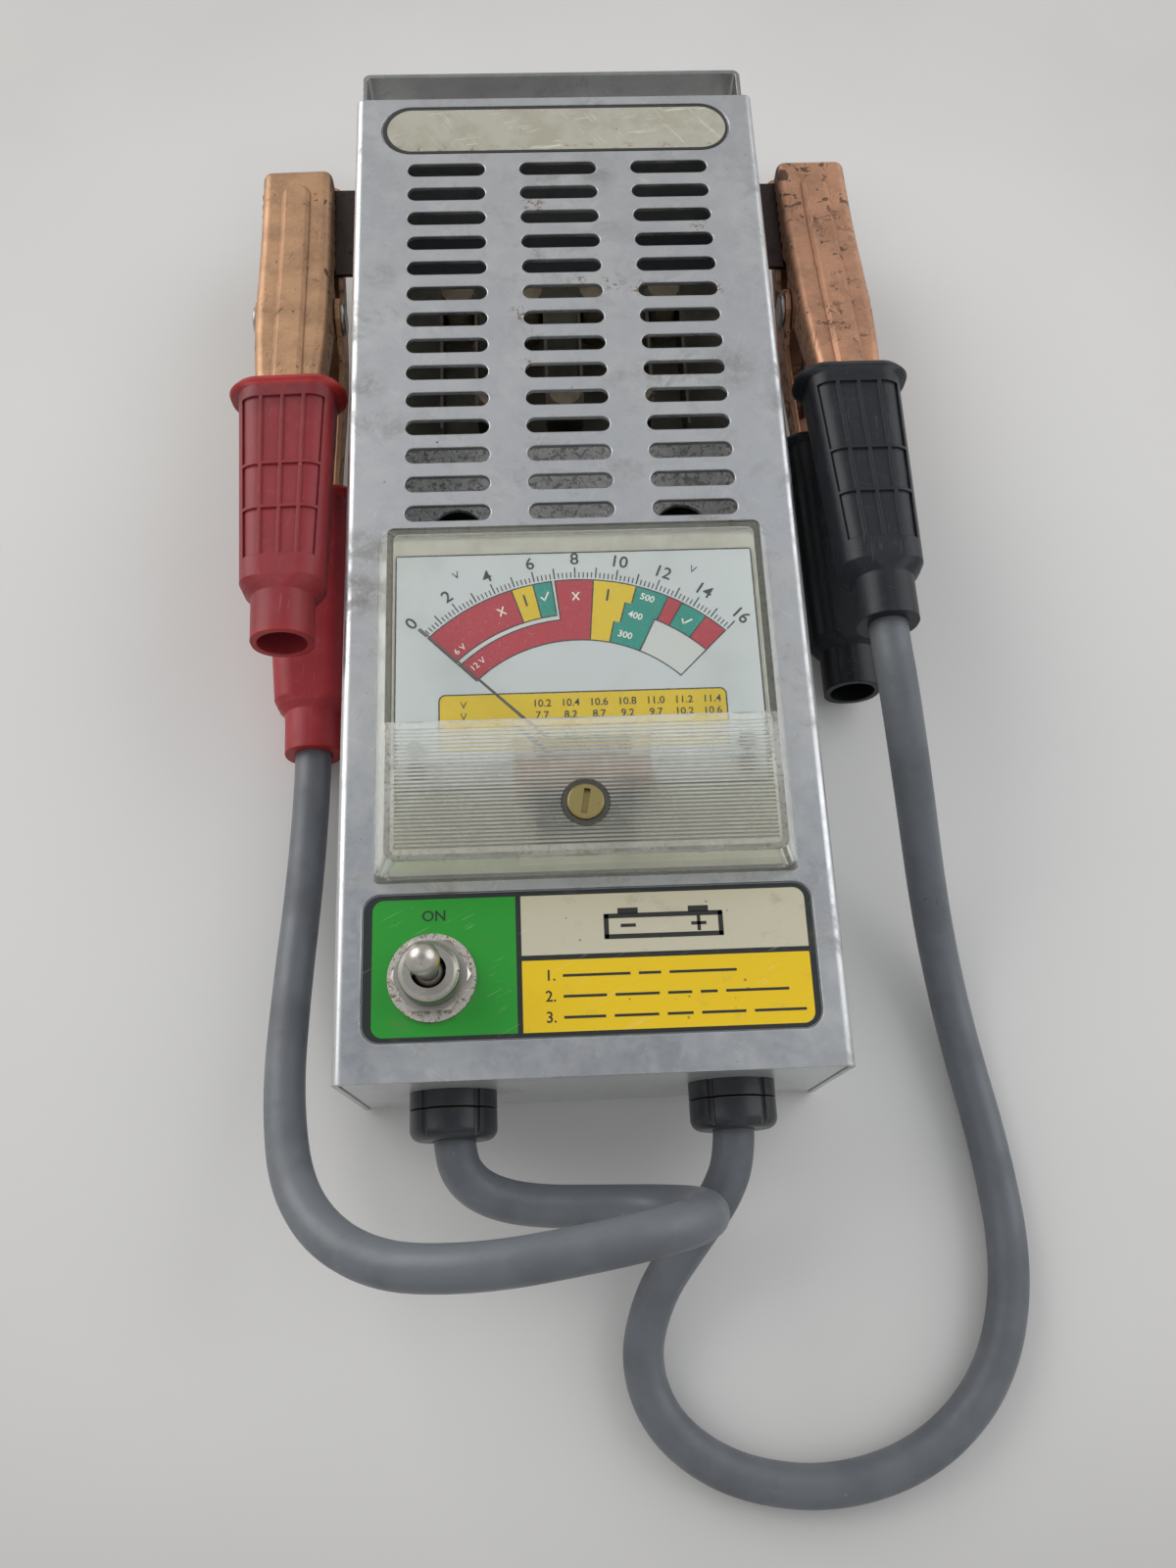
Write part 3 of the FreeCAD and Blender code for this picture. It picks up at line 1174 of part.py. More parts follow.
def make_spring(label):
    """Torsion spring round the rivet with a leg under the back of each arm."""
    steps = SPRING_TURNS * 4
    climb = SPRING_PITCH / (2 * math.pi)
    tilt = math.hypot(SPRING_R, climb)
    leg_z = crown_z(-SPRING_LEG) - CLAMP_SHEET - SPRING_WIRE / 2 - SPRING_SEAT
    leg = math.sqrt(SPRING_LEG * SPRING_LEG + leg_z * leg_z - SPRING_R * SPRING_R)
    lean = math.atan2(leg_z, SPRING_LEG)
    lead = math.atan2(leg, SPRING_R)
    start = lean + lead - math.pi
    total = 2 * math.pi * SPRING_TURNS - 2 * (lean + lead)

    def spot(share):
        """Give the place and the heading on the coil."""
        angle = start + total * share
        place = Vector(climb * total * (share - 0.5), SPRING_R * math.cos(angle), SPRING_R * math.sin(angle))
        heading = Vector(climb / tilt, -SPRING_R / tilt * math.sin(angle), SPRING_R / tilt * math.cos(angle))
        return place, heading

    edges = []
    place, heading = spot(0)
    first = place - heading * leg
    edges.append(Part.LineSegment(first, place).toShape())
    for step in range(steps):
        following, ahead = spot((step + 1) / steps)
        edges += biarc(place, heading, following, ahead)
        place, heading = following, ahead
    last = place + heading * leg
    edges.append(Part.LineSegment(place, last).toShape())
    wire = Part.Wire(edges)
    circle = Part.Wire(Part.Circle(first, spot(0)[1], SPRING_WIRE / 2).toShape())
    spring = wire.makePipeShell([circle], True, False)
    points = [spot(index / 240)[0] for index in range(241)]
    turn_share = 240 * 2 * math.pi / total * 0.7
    gaps = []
    for index, one in enumerate(points):
        for other in points[index + int(turn_share):]:
            gaps.append(one.distanceToPoint(other))
    print(label, "least gap", round(min(gaps) - SPRING_WIRE, 2))
    return spring


def section(y, z, width, height, radius):
    """Round-cornered section of a boot across the clamp's length."""
    face = rounded_face(-width / 2, width / 2, -height / 2, height / 2, 0, radius)
    face.Placement = FreeCAD.Placement(Vector(0, y, z), FreeCAD.Rotation(Vector(1, 0, 0), 90))
    return face.OuterWire


def boot_body(inset):
    """Tapered part of a boot between its flange and its shoulder."""
    start = BOOT_Y - BOOT_FLANGE_L
    stop = start - BOOT_L
    return Part.makeLoft([
        section(start, arm_mid(start), BOOT_W0 - 2 * inset, BOOT_H0 - 2 * inset, 5.5 - inset),
        section(stop, arm_mid(stop), BOOT_W1 - 2 * inset, BOOT_H1 - 2 * inset, 5.5 - inset),
    ], True, True)


def panel_span(column, share):
    """Give both sides of one sunk panel, at a share of the way along the boot."""
    width = BOOT_W0 + (BOOT_W1 - BOOT_W0) * share
    pitch = (width - 2 * PANEL_MARGIN) / PANEL_COLUMNS
    middle = (column - (PANEL_COLUMNS - 1) / 2) * pitch
    return middle - (pitch - PANEL_RIB) / 2, middle + (pitch - PANEL_RIB) / 2


def neck_z():
    """Give the height of the boot's neck."""
    return arm_mid(BOOT_Y - BOOT_FLANGE_L - BOOT_L - BOOT_SHOULDER)


def make_boot(half_w, bore):
    """Vinyl boot: flange, panelled body, shoulder and neck round a pocket for the arm."""
    start = BOOT_Y - BOOT_FLANGE_L
    stop = start - BOOT_L
    neck = stop - BOOT_SHOULDER
    body = boot_body(0)
    ring = body.cut(boot_body(PANEL_DEPTH))
    panels = []
    for column in range(PANEL_COLUMNS):
        for first, second in PANEL_ROWS:
            near = panel_span(column, first)
            far = panel_span(column, second)
            z = arm_mid(stop)
            corners = [(near[0], first), (near[1], first), (far[1], second), (far[0], second)]
            points = [Vector(x, start - share * BOOT_L, z) for x, share in corners]
            panels.append(polygon_prism(points, Vector(0, 0, BOOT_H0)))
    body = body.cut(ring.common(Part.makeCompound(panels)))
    flange = Part.makeLoft([
        section(BOOT_Y, arm_mid(BOOT_Y), BOOT_FLANGE_W - 2, BOOT_FLANGE_H - 1.2, 6.8),
        section(BOOT_Y - 1.2, arm_mid(BOOT_Y), BOOT_FLANGE_W, BOOT_FLANGE_H, 7.4),
        section(BOOT_Y - 1.9, arm_mid(BOOT_Y), BOOT_FLANGE_W - 0.6, BOOT_FLANGE_H - 0.3, 7.4),
        section(start, arm_mid(start), BOOT_W0, BOOT_H0, 5.5),
    ], True, True)
    neck_ring = section(neck, neck_z(), NECK_D, NECK_D, NECK_D * 0.45)
    shoulder = Part.makeLoft([
        section(stop, arm_mid(stop), BOOT_W1, BOOT_H1, 5.5),
        section(stop - BOOT_SHOULDER * 0.5, arm_mid(stop), BOOT_W1 - 1.6, BOOT_H1 - 0.2, 6.4),
        neck_ring,
    ], True, True)
    throat = Part.Face(neck_ring).extrude(Vector(0, -NECK_L, 0))
    boot = body.fuse([flange, shoulder, throat])
    fit = BOOT_FIT
    wide = 2 * half_w
    pocket = Part.makeLoft([
        section(BOOT_Y + 0.1, arm_mid(BOOT_Y), wide * 0.92 + 2 * fit, ARM_DEPTH + 2 * fit, 1.0),
        section(ARM_END_Y - fit, arm_mid(ARM_END_Y), 2 * ARM_HALF_W + 2 * fit, ARM_DEPTH + 2 * fit, 1.0),
    ], True, True)
    hole = rod(0, ARM_END_Y, neck_z(), bore / 2, NECK_L + BOOT_SHOULDER + 10, (0, -1, 0))
    return boot.cut(pocket).cut(hole)


def hang(shape, pivot, yaw, flip, slip=0.0):
    """Set a clamp piece, made as an upper one, on its rest."""
    copy = shape.copy()
    if slip:
        lean = (ARM_END_Z - HEEL_Z) / (HEEL_Y - ARM_END_Y)
        copy.translate(Vector(0, -slip, slip * lean))
    if flip:
        copy = copy.mirror(Vector(0, 0, 0), Vector(0, 0, 1))
    turn = FreeCAD.Rotation(Vector(0, 0, 1), yaw)
    placed = FreeCAD.Placement(Vector(pivot[0], y_at(pivot[1]), REST_Z), turn)
    copy.Placement = placed.multiply(copy.Placement)
    return copy


def clamp_point(pivot, yaw, y, z):
    """Give the part's place of a point on a clamp's middle plane."""
    turn = FreeCAD.Rotation(Vector(0, 0, 1), yaw)
    return Vector(pivot[0], y_at(pivot[1]), REST_Z) + turn.multVec(Vector(0, y, z))


def make_cable(label, route, beside, pivot, yaw, flip, slip):
    """Cable from its gland to the arm inside the boot."""
    points = [Vector(x, y_at(y), z) for x, y, z in route]
    lean = (ARM_END_Z - HEEL_Z) / (HEEL_Y - ARM_END_Y)
    height = neck_z() + slip * lean
    if flip:
        height = -height
    mouth = BOOT_Y - BOOT_FLANGE_L - BOOT_L - BOOT_SHOULDER - NECK_L - slip
    points += [Vector(x, y_at(share * (pivot[1] + mouth)), z) for x, share, z in beside]
    points.append(clamp_point(pivot, yaw, mouth - CABLE_D / 2, height))
    points.append(clamp_point(pivot, yaw, mouth + NECK_L, height))
    points[0].y = END + END_REVEAL - GLAND_BODY_L - GLAND_SEAM
    print(label, "route", [tuple(round(value, 2) for value in point) for point in points])
    return tube(points, CABLE_D, label)


def main():
    """Build every piece and write it."""
    os.makedirs("parts", exist_ok=True)
    save("front_cover", make_front_cover())
    save("rear_chassis", make_rear_chassis())
    save("carry_handle", make_carry_handle())
    rest = make_clamp_rest()
    save("right_clamp_rest", rest)
    save("left_clamp_rest", mirrored(rest))
    screws, nuts, case_screws = make_case_fasteners()
    save("handle_screws", screws)
    save("handle_nuts", nuts)
    save("case_screws", case_screws)
    save("name_plate", make_name_plate())
    save("front_label", make_front_label())
    save("meter_cover", make_meter_cover())
    save("meter_case", make_meter_case())
    save("dial_plate", make_dial_plate())
    save("dial_screws", make_dial_screws())
    save("movement_magnet", make_movement_magnet())
    save("movement_bridge", make_movement_bridge())
    save("pointer", make_pointer())
    save("zero_screw", make_zero_screw())
    save("meter_studs", make_meter_studs())
    save("switch_body", make_switch_body())
    save("switch_bushing", make_switch_bushing())
    save("switch_washer", make_switch_washer())
    save("switch_nut", make_switch_nut())
    save("switch_lever", make_switch_lever())
    save("switch_terminals", make_switch_terminals())
    save("load_ribbon", make_load_ribbon())
    save("load_posts", make_load_posts())
    save("load_board", make_load_board())
    save("board_spacers", make_board_spacers())
    save("heat_shield", make_heat_shield())
    save("inner_leads", make_inner_leads())
    save("gland_locknuts", make_gland_locknuts())
    inner_half = make_clamp_half(JAW_HALF_W)
    outer_half = make_clamp_half(OUTER_HALF_W)
    rivet = make_rivet()
    plain = MOUTH_D
    snug = CABLE_D + 2 * CABLE_FIT
    clamps = (
        ("red", -1, RED_PIVOT, RED_YAW, RED_ROUTE, RED_SIDE, True, RED_SLIP),
        ("black", 1, BLACK_PIVOT, BLACK_YAW, BLACK_ROUTE, BLACK_SIDE, False, 0.0),
    )
    for colour, side, pivot, yaw, route, beside, low_cable, slip in clamps:
        save(colour + "_gland_body", make_gland_body(side))
        save(colour + "_gland_nut", make_gland_nut(side))
        save(colour + "_cable", make_cable(colour + "_cable", route, beside, pivot, yaw, low_cable, slip))
        save(colour + "_upper_jaw", hang(inner_half, pivot, yaw, False))
        save(colour + "_lower_jaw", hang(outer_half, pivot, yaw, True))
        save(colour + "_rivet", hang(rivet, pivot, yaw, False))
        save(colour + "_spring", hang(make_spring(colour + "_spring"), pivot, yaw, False))
        upper = make_boot(JAW_HALF_W, plain if low_cable else snug)
        lower = make_boot(OUTER_HALF_W, snug if low_cable else plain)
        save(colour + "_upper_boot", hang(upper, pivot, yaw, False))
        save(colour + "_lower_boot", hang(lower, pivot, yaw, True, slip))


main()
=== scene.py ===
"""Looks of a hand-held battery load tester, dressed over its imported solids.

Metres, in the solids' own frame: +Z is the way the meter faces, +Y runs towards the handle end.
Places on the case are written in millimetres from its middle, with Y counted from the cable end.
"""

import logging
import math
from dataclasses import dataclass
from enum import Enum
from typing import Any, Callable, Protocol, Sequence, Union

import bpy
from mathutils import Matrix, Vector


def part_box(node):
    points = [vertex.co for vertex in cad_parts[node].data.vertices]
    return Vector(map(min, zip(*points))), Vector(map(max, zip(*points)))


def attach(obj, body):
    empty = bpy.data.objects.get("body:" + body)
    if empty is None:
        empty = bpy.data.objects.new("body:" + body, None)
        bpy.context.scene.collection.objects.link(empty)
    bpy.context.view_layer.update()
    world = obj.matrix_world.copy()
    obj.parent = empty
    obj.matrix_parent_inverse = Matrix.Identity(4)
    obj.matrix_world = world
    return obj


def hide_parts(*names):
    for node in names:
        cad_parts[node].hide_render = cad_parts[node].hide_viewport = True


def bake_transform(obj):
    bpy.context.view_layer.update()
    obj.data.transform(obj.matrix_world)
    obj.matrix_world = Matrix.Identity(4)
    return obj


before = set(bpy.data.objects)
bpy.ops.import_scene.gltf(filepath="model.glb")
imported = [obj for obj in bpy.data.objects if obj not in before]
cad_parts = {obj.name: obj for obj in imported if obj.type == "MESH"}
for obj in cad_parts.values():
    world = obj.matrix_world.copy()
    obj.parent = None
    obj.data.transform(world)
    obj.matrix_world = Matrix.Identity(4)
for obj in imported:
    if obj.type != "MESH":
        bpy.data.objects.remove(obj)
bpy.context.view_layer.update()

MM = 0.001
CABLE_END = -129.0
FULL_SCALE = 16
SWEEP = 90.0
VOLT_TURN = SWEEP / FULL_SCALE
VOLT_ARC = math.radians(VOLT_TURN)
PRINT_DEPTH = 0.03
CAP_SHARE = 0.72
FONT_STEPS = 4
BOLD = 0.02
END_SHARE = 0.8
EASE_SHARE = 0.3
WELD = 1e-6
LOG = logging.getLogger("tester")

Piece = bpy.types.Object
Material = bpy.types.Material
Value = Union["Link", float, int, tuple]
Colour = tuple[float, float, float, float]
Pair = tuple[float, float]
Triple = tuple[float, float, float]


def paint(red: int, green: int, blue: int) -> Colour:
    """Turn screen values from 0 to 255 into the linear colour that a shader takes."""
    shares = (value / 255 for value in (red, green, blue))
    return (*(s / 12.92 if s <= 0.04045 else ((s + 0.055) / 1.055) ** 2.4 for s in shares), 1.0)


def dimmed(colour: Colour, share: float) -> Colour:
    """Give a colour with its light cut to a share."""
    return (colour[0] * share, colour[1] * share, colour[2] * share, 1.0)


def spot(x: float, y: float, z: float = 0.0) -> Vector:
    """Give the place in metres of millimetres with Y from the cable end."""
    return Vector((x, CABLE_END + y, z)) * MM


def operator(operation: str, swap: bool = False) -> Callable[..., "Link"]:
    """Make a Python operator that adds a Math node, with the second number first if they swap."""
    return lambda link, other=0.0: link.math(operation, other, swap)


@dataclass(frozen=True)
class Link:
    """An output socket that takes part in Python expressions."""

    owner: "Tree"
    socket: bpy.types.NodeSocket

    def math(self, operation: str, other: Value = 0.0, swap: bool = False) -> "Link":
        """Add a Math node, with the second number first if they swap."""
        first, second = (other, self) if swap else (self, other)
        return self.owner.node("Math", {"operation": operation}, {0: first, 1: second})

    __add__ = __radd__ = operator("ADD")
    __sub__ = operator("SUBTRACT")
    __rsub__ = operator("SUBTRACT", True)
    __mul__ = __rmul__ = operator("MULTIPLY")
    __truediv__ = operator("DIVIDE")
    __rtruediv__ = operator("DIVIDE", True)
    __gt__ = operator("GREATER_THAN")
    __lt__ = operator("LESS_THAN")
    __and__ = operator("MINIMUM")
    __or__ = operator("MAXIMUM")
    __mod__ = operator("FLOORED_MODULO")
    __abs__ = operator("ABSOLUTE")

    def beyond(self, limit: Value) -> "Link":
        """Give how far this goes past a limit, or 0."""
        return (self - limit) | 0.0

    def between(self, low: Value, high: Value) -> "Link":
        """Give 1 where this lies between two numbers."""
        return (self > low) & (self < high)

    def ramp(self, low: Value, high: Value) -> "Link":
        """Rise smoothly from 0 to 1 while this goes from one number to another."""
        return self.owner.node("MapRange", {"interpolation_type": "SMOOTHSTEP"},
                               {"Value": self, "From Min": low, "From Max": high})


class Tree:
    """A node tree under construction."""

    def __init__(self, tree: bpy.types.NodeTree) -> None:
        """Take over a tree."""
        self.tree = tree

    def node(self, kind: str, settings: dict[str, Any], inputs: dict[Any, Value], output: Any = 0) -> Link:
        """Add any node.

        Args:
            kind: The node's type, without its first words.
            settings: Its properties, or the stops of its ramp, set before its sockets.
            inputs: Values or links by socket name or index.
            output: Name or index of the socket to give back.

        Returns:
            The chosen output.
        """
        made = self.tree.nodes.new(f"ShaderNode{kind}")
        for name, setting in settings.items():
            if name == "stops":
                self.set_stops(made.color_ramp.elements, setting)
            else:
                setattr(made, name, setting)
        for key, value in inputs.items():
            if isinstance(value, Link):
                self.tree.links.new(value.socket, made.inputs[key])
            else:
                made.inputs[key].default_value = value
        return Link(self, made.outputs[output])

    @staticmethod
    def set_stops(stops: bpy.types.ColorRampElements, values: Sequence[tuple[float, Triple]]) -> None:
        """Set the stops of a colour ramp.

        Args:
            stops: The ramp's stops.
            values: Their places and colours.
        """
        while len(stops) < len(values):
            stops.new(0.5)
        for stop, (place, colour) in zip(stops, values):
            stop.position = place
            stop.color = (*colour, 1.0)


class Sheet(Tree):
    """A material under construction."""

    def __init__(self, name: str) -> None:
        """Start an empty material and its place in millimetres.

        Args:
            name: The material's name.
        """
        self.material = bpy.data.materials.new(name)
        self.material.use_nodes = True
        super().__init__(self.material.node_tree)
        self.tree.nodes.clear()
        self.output = self.tree.nodes.new("ShaderNodeOutputMaterial")
        place = self.node("TexCoord", {}, {}, "Object")
        self.place = self.node("VectorMath", {"operation": "SCALE"}, {"Vector": place, "Scale": 1 / MM})
        self.x, y, self.z = (self.node("SeparateXYZ", {}, {0: self.place}, axis) for axis in range(3))
        self.y = y - CABLE_END

    def noise(self, size: float, detail: float = 3.0, rough: float = 0.55, place: Link | None = None,
              warp: float = 0.0) -> Link:
        """Add a cloudy pattern round 0.5, with blotches of a size in millimetres and finer layers."""
        return self.node("TexNoise", {}, {"Vector": place or self.place, "Scale": 1 / size, "Detail": detail,
                                          "Roughness": rough, "Distortion": warp})

    def blotches(self, size: float, detail: float, rough: float, low: Value, high: Value,
                 warp: float = 0.0) -> Link:
        """Give a mask of the places where a cloudy pattern rises from one number to another."""
        return self.noise(size, detail, rough, warp=warp).ramp(low, high)

    def scaled(self, place: Link, factors: Triple) -> Link:
        """Give a place with each axis multiplied by a factor."""
        return self.node("VectorMath", {"operation": "MULTIPLY"}, {0: place, 1: factors})

    def specks(self, size: float, radius: float, share: float) -> Link:
        """Scatter dots.

        Args:
            size: Distance between possible dots in millimetres.
            radius: Largest dot as a share of that distance.
            share: Share of the possible dots that are there.

        Returns:
            A mask of the dots.
        """
        inputs = {"Vector": self.place, "Scale": 1 / size}
        near = self.node("TexVoronoi", {}, inputs, "Distance")
        tint = self.node("TexVoronoi", {}, inputs, "Color")
        chance, sized = (self.node("SeparateColor", {}, {0: tint}, channel) for channel in range(2))
        reach = (0.3 + 0.7 * sized) * radius
        return (reach - near).ramp(-0.02, 0.04) * (chance < share)

    def scratches(self, angle: float, size: float, share: float) -> Link:
        """Give fine scratches along one direction.

        Args:
            angle: Direction in degrees from Y.
            size: Width of the pattern in millimetres.
            share: How many there are, from 0 to 1.

        Returns:
            A mask of the scratches.
        """
        turned = self.node("VectorRotate", {"rotation_type": "Z_AXIS"},
                           {"Vector": self.place, "Angle": math.radians(angle)})
        lines = self.noise(size, 1.0, 0.4, self.scaled(turned, (1.0, 0.03, 1.0)))
        patches = self.blotches(size * 25, 2.0, 0.55, 0.5, 0.6)
        return lines.ramp(0.71 - 0.08 * share, 0.74 - 0.06 * share) * patches

    def mix(self, factor: Value, first: Value, second: Value, blend: str = "MIX") -> Link:
        """Lay the second colour over the first, as far as the factor says."""
        return self.node("Mix", {"data_type": "RGBA", "blend_type": blend},
                         {0: factor, 6: first, 7: second}, 2)

    def layers(self, ground: Value, *coats: tuple[Value, Colour]) -> Value:
        """Lay colours over a ground, one after the other.

        Args:
            ground: Colour below them all.
            coats: Mask and colour of each layer.

        Returns:
            The mixed colour.
        """
        for mask, colour in coats:
            ground = self.mix(mask, ground, colour)
        return ground

    def normal(self) -> Link:
        """Give the way the surface faces."""
        return self.node("NewGeometry", {}, {}, "Normal")

    def upward(self) -> Link:
        """Give how far the surface faces up, from -1 to 1."""
        return self.node("SeparateXYZ", {}, {0: self.normal()}, 2)

    def near(self, x: float, y: float, reach: float) -> Link:
        """Give a soft round mask about a place on the front, in millimetres."""
        off_x, off_y = (self.x - x) / reach, (self.y - y) / reach
        return (off_x * off_x + off_y * off_y).ramp(1.0, 0.0)

    def reach(self, x: Link, y: Link) -> Link:
        """Give the distance that two offsets make together."""
        return (x * x + y * y).math("SQRT")

    def rounded(self, radius: float) -> Link:
        """Give the normal with sharp edges eased by a radius in millimetres."""
        return self.node("Bevel", {"samples": 6}, {"Radius": radius * MM})

    def edges(self, radius: float, low: float = 0.02, high: float = 0.2) -> Link:
        """Give a mask of the sharp edges, as wide as a radius in millimetres."""
        sides = {0: self.rounded(radius), 1: self.normal()}
        return (1 - self.node("VectorMath", {"operation": "DOT_PRODUCT"}, sides, 1)).ramp(low, high)

    def hollows(self, distance: float, low: float, high: float) -> Link:
        """Give a mask of corners and grooves within a distance in millimetres."""
        light = self.node("AmbientOcclusion", {"samples": 6}, {"Distance": distance * MM}, 1)
        return (1 - light).ramp(low, high)

    def bump(self, height: Link, depth: float, below: Link | None = None) -> Link:
        """Raise the surface by a height from 0 to 1 times a depth in millimetres, over any normal below."""
        under = {} if below is None else {"Normal": below}
        return self.node("Bump", {}, {"Strength": 1.0, "Distance": depth * MM, "Height": height, **under})

    def principled(self, tint: Value, rough: Value, **sockets: Value) -> Link:
        """Add a shader with a colour, a roughness and other sockets by name, with _ for a space."""
        named = {name.replace("_", " "): value for name, value in sockets.items()}
        return self.node("BsdfPrincipled", {}, {"Base Color": tint, "Roughness": rough, **named})

    def finish(self, tint: Value, rough: Value, **sockets: Value) -> Material:
        """Close the material with one shader."""
        return self.close(self.principled(tint, rough, **sockets))

    def close(self, shader: Link) -> Material:
        """Close the material with a shader that is there."""
        self.tree.links.new(shader.socket, self.output.inputs["Surface"])
        return self.material


class Lay(Enum):
    """Where a print lies on the flat plates."""

    DIAL = 51.83
    LABEL = 49.93


class Finish(Protocol):
    """Anything that can make a material."""

    def material(self) -> Material:
        """Make the material."""


Coats = tuple[tuple[Union[Finish, str], ...], ...]


@dataclass(frozen=True)
class Chrome:
    """Worn chrome plate on sheet steel."""

    name: str
    roughness: float
    haze: float
    dirt: float
    shade: Colour = paint(197, 199, 202)
    satin: float = 0.35
    evenness: float = 0.0
    rust: tuple[Triple, ...] = ()
    smudges: tuple[Triple, ...] = ()
    # Whether the inside floor gets a painted shade in dull grey.
    lined: bool = False

    def material(self) -> Material:
        """Make plated metal with clouds, scuffs, pits, dirt and rust, and painted shade on its inner floor
        where asked.

        Returns:
            The material.
        """
        sheet = Sheet(self.name)
        mottle = sheet.noise(4.5, 6.0, 0.72, warp=0.3)
        fine = sheet.noise(0.9, 4.0, 0.65)
        clouds = sheet.blotches(30.0, 5.0, 0.62, 0.38, 0.64) * 0.55 + mottle.ramp(0.4, 0.66) * 0.45
        scuff = sheet.scratches(24, 0.35, 0.6) | sheet.scratches(-58, 0.3, 0.4)
        pits = sheet.specks(5.5, 0.075, 0.4) | sheet.specks(1.9, 0.1, 0.35) * mottle.ramp(0.52, 0.62)
        film = (self.evenness + (1 - self.evenness) * clouds) * self.haze
        blur = sheet.blotches(7.0, 6.0, 0.75, 0.5, 0.68, 0.5) * 0.35
        grime = (sheet.blotches(16.0, 6.0, 0.72, 0.52, 0.7, 0.4) | blur) * self.dirt
        for smudge in self.smudges:
            grime = grime | sheet.near(*smudge) * mottle.ramp(0.3, 0.6)
        tint = sheet.layers(
            self.shade, (film, paint(190, 191, 191)), (scuff * 0.3, paint(226, 228, 230)),
            (grime * (0.25 + 0.6 * fine), paint(98, 97, 94)), (pits * 0.8, paint(46, 42, 40)))
        spoilt = pits
        for blot in self.rust:
            patch = sheet.near(*blot) * sheet.blotches(1.3, 4.0, 0.65, 0.5, 0.6)
            tint = sheet.mix(patch * 0.9, tint, paint(108, 78, 48))
            spoilt = spoilt | patch
        # Painted shade: the inside floor of the case is laid in dull grey, not chrome, to stand in for the
        # shade inside the case.
        if self.lined:
            painted_inner_shade = (sheet.upward() > 0.9) & (sheet.z < 3.0)
            tint = sheet.mix(painted_inner_shade, tint, paint(136, 138, 143))
            spoilt = spoilt | painted_inner_shade
        rough = self.roughness + 0.16 * film + 0.08 * (fine - 0.5) + (grime * 0.2 | spoilt * 0.4)
        metal = 1.0 - (film * self.satin | grime * 0.5 | spoilt * 0.8)
        height = fine * 0.25 + mottle * 0.5 - pits * 0.6
        return sheet.finish(tint, rough, Metallic=metal,
                            Normal=sheet.bump(height, 0.025, sheet.rounded(0.45)))


@dataclass(frozen=True)
class Steel:
    """Plain, plated or rusty metal of small hardware."""

    name: str
    shade: Colour
    roughness: float
    stain: Colour
    wear: float
    grain: float = 1.2
    rust: float = 0.0

    def material(self) -> Material:
        """Make metal with stains, pits and fine wear, and dark oxide with painted shade in its hollows.

        Returns:
            The material.
        """
        sheet = Sheet(self.name)
        blotch = sheet.blotches(self.grain * 4, 5.0, 0.65, 0.62 - 0.2 * self.wear, 0.78)
        fine = sheet.noise(self.grain * 0.5, 3.0, 0.6)
        bitten = sheet.blotches(1.1, 5.0, 0.75, 0.5, 0.58) * self.rust
        pits = sheet.specks(self.grain, 0.3, self.wear) | bitten
        stained = (blotch * 0.8 | pits) * min(1.0, self.wear * 1.6)
        # The darkest stain colour goes into slots, corners and where parts meet: partly oxide, partly painted
        # shade.
        tint = sheet.layers(
            self.shade, (fine.ramp(0.35, 0.7) * 0.25, dimmed(self.shade, 0.6)), (stained, self.stain),
            (sheet.hollows(1.2, 0.35, 0.85) * 0.7, dimmed(self.stain, 0.5)))
        rough = self.roughness + 0.3 * stained + 0.12 * (fine - 0.5)
        return sheet.finish(tint, rough, Metallic=1.0 - stained * 0.6,
                            Normal=sheet.bump(fine * 0.5 - pits * 0.8, 0.03))


@dataclass(frozen=True)
class Copper:
    """Dull copper plate with dark pits and scrapes, tarnished edges and painted shade on its side faces."""

    name: str
    shade: Colour
    pitting: float

    def material(self) -> Material:
        """Make handled copper plate.

        Returns:
            The material.
        """
        sheet = Sheet(self.name)
        fine = sheet.noise(1.1, 4.0, 0.65)
        least = 0.66 - 0.11 * self.pitting
        chips = sheet.blotches(4.2, 4.0, 0.62, least, least + 0.03, 0.8)
        worn = sheet.blotches(14.0, 3.0, 0.6, 0.42, 0.58) | sheet.y.ramp(205.0, 240.0)
        pits = sheet.specks(3.0, 0.14, self.pitting * 0.7) | chips * worn
        scrape = sheet.scratches(12, 0.5, 0.9)
        # Painted shade: the dark edge colour is laid on faces that turn sideways, the jaws' sides and the
        # bead's flanks, in blotches of tarnish that grow towards the tip.
        slope = 1 - abs(sheet.upward())
        tip = sheet.y.ramp(241.0, 247.0) * 0.2
        edge = slope.ramp(0.22, 0.6) * sheet.blotches(3.0, 5.0, 0.7, 0.52 - tip, 0.64 - tip)
        dark = edge * 0.75 | pits * 0.85 | scrape * 0.5 | sheet.hollows(1.4, 0.24, 0.6) * 0.8
        tint = sheet.layers(
            self.shade, (sheet.blotches(9.0, 5.0, 0.6, 0.35, 0.7), dimmed(self.shade, 0.72)),
            (fine.ramp(0.5, 0.75) * 0.35, paint(222, 186, 156)), (dark, paint(70, 50, 40)))
        rough = 0.42 + 0.25 * dark + 0.15 * (fine - 0.5)
        return sheet.finish(tint, rough, Metallic=0.72 - dark * 0.45,
                            Normal=sheet.bump(fine * 0.4 - pits - scrape * 0.5, 0.06, sheet.rounded(0.5)))


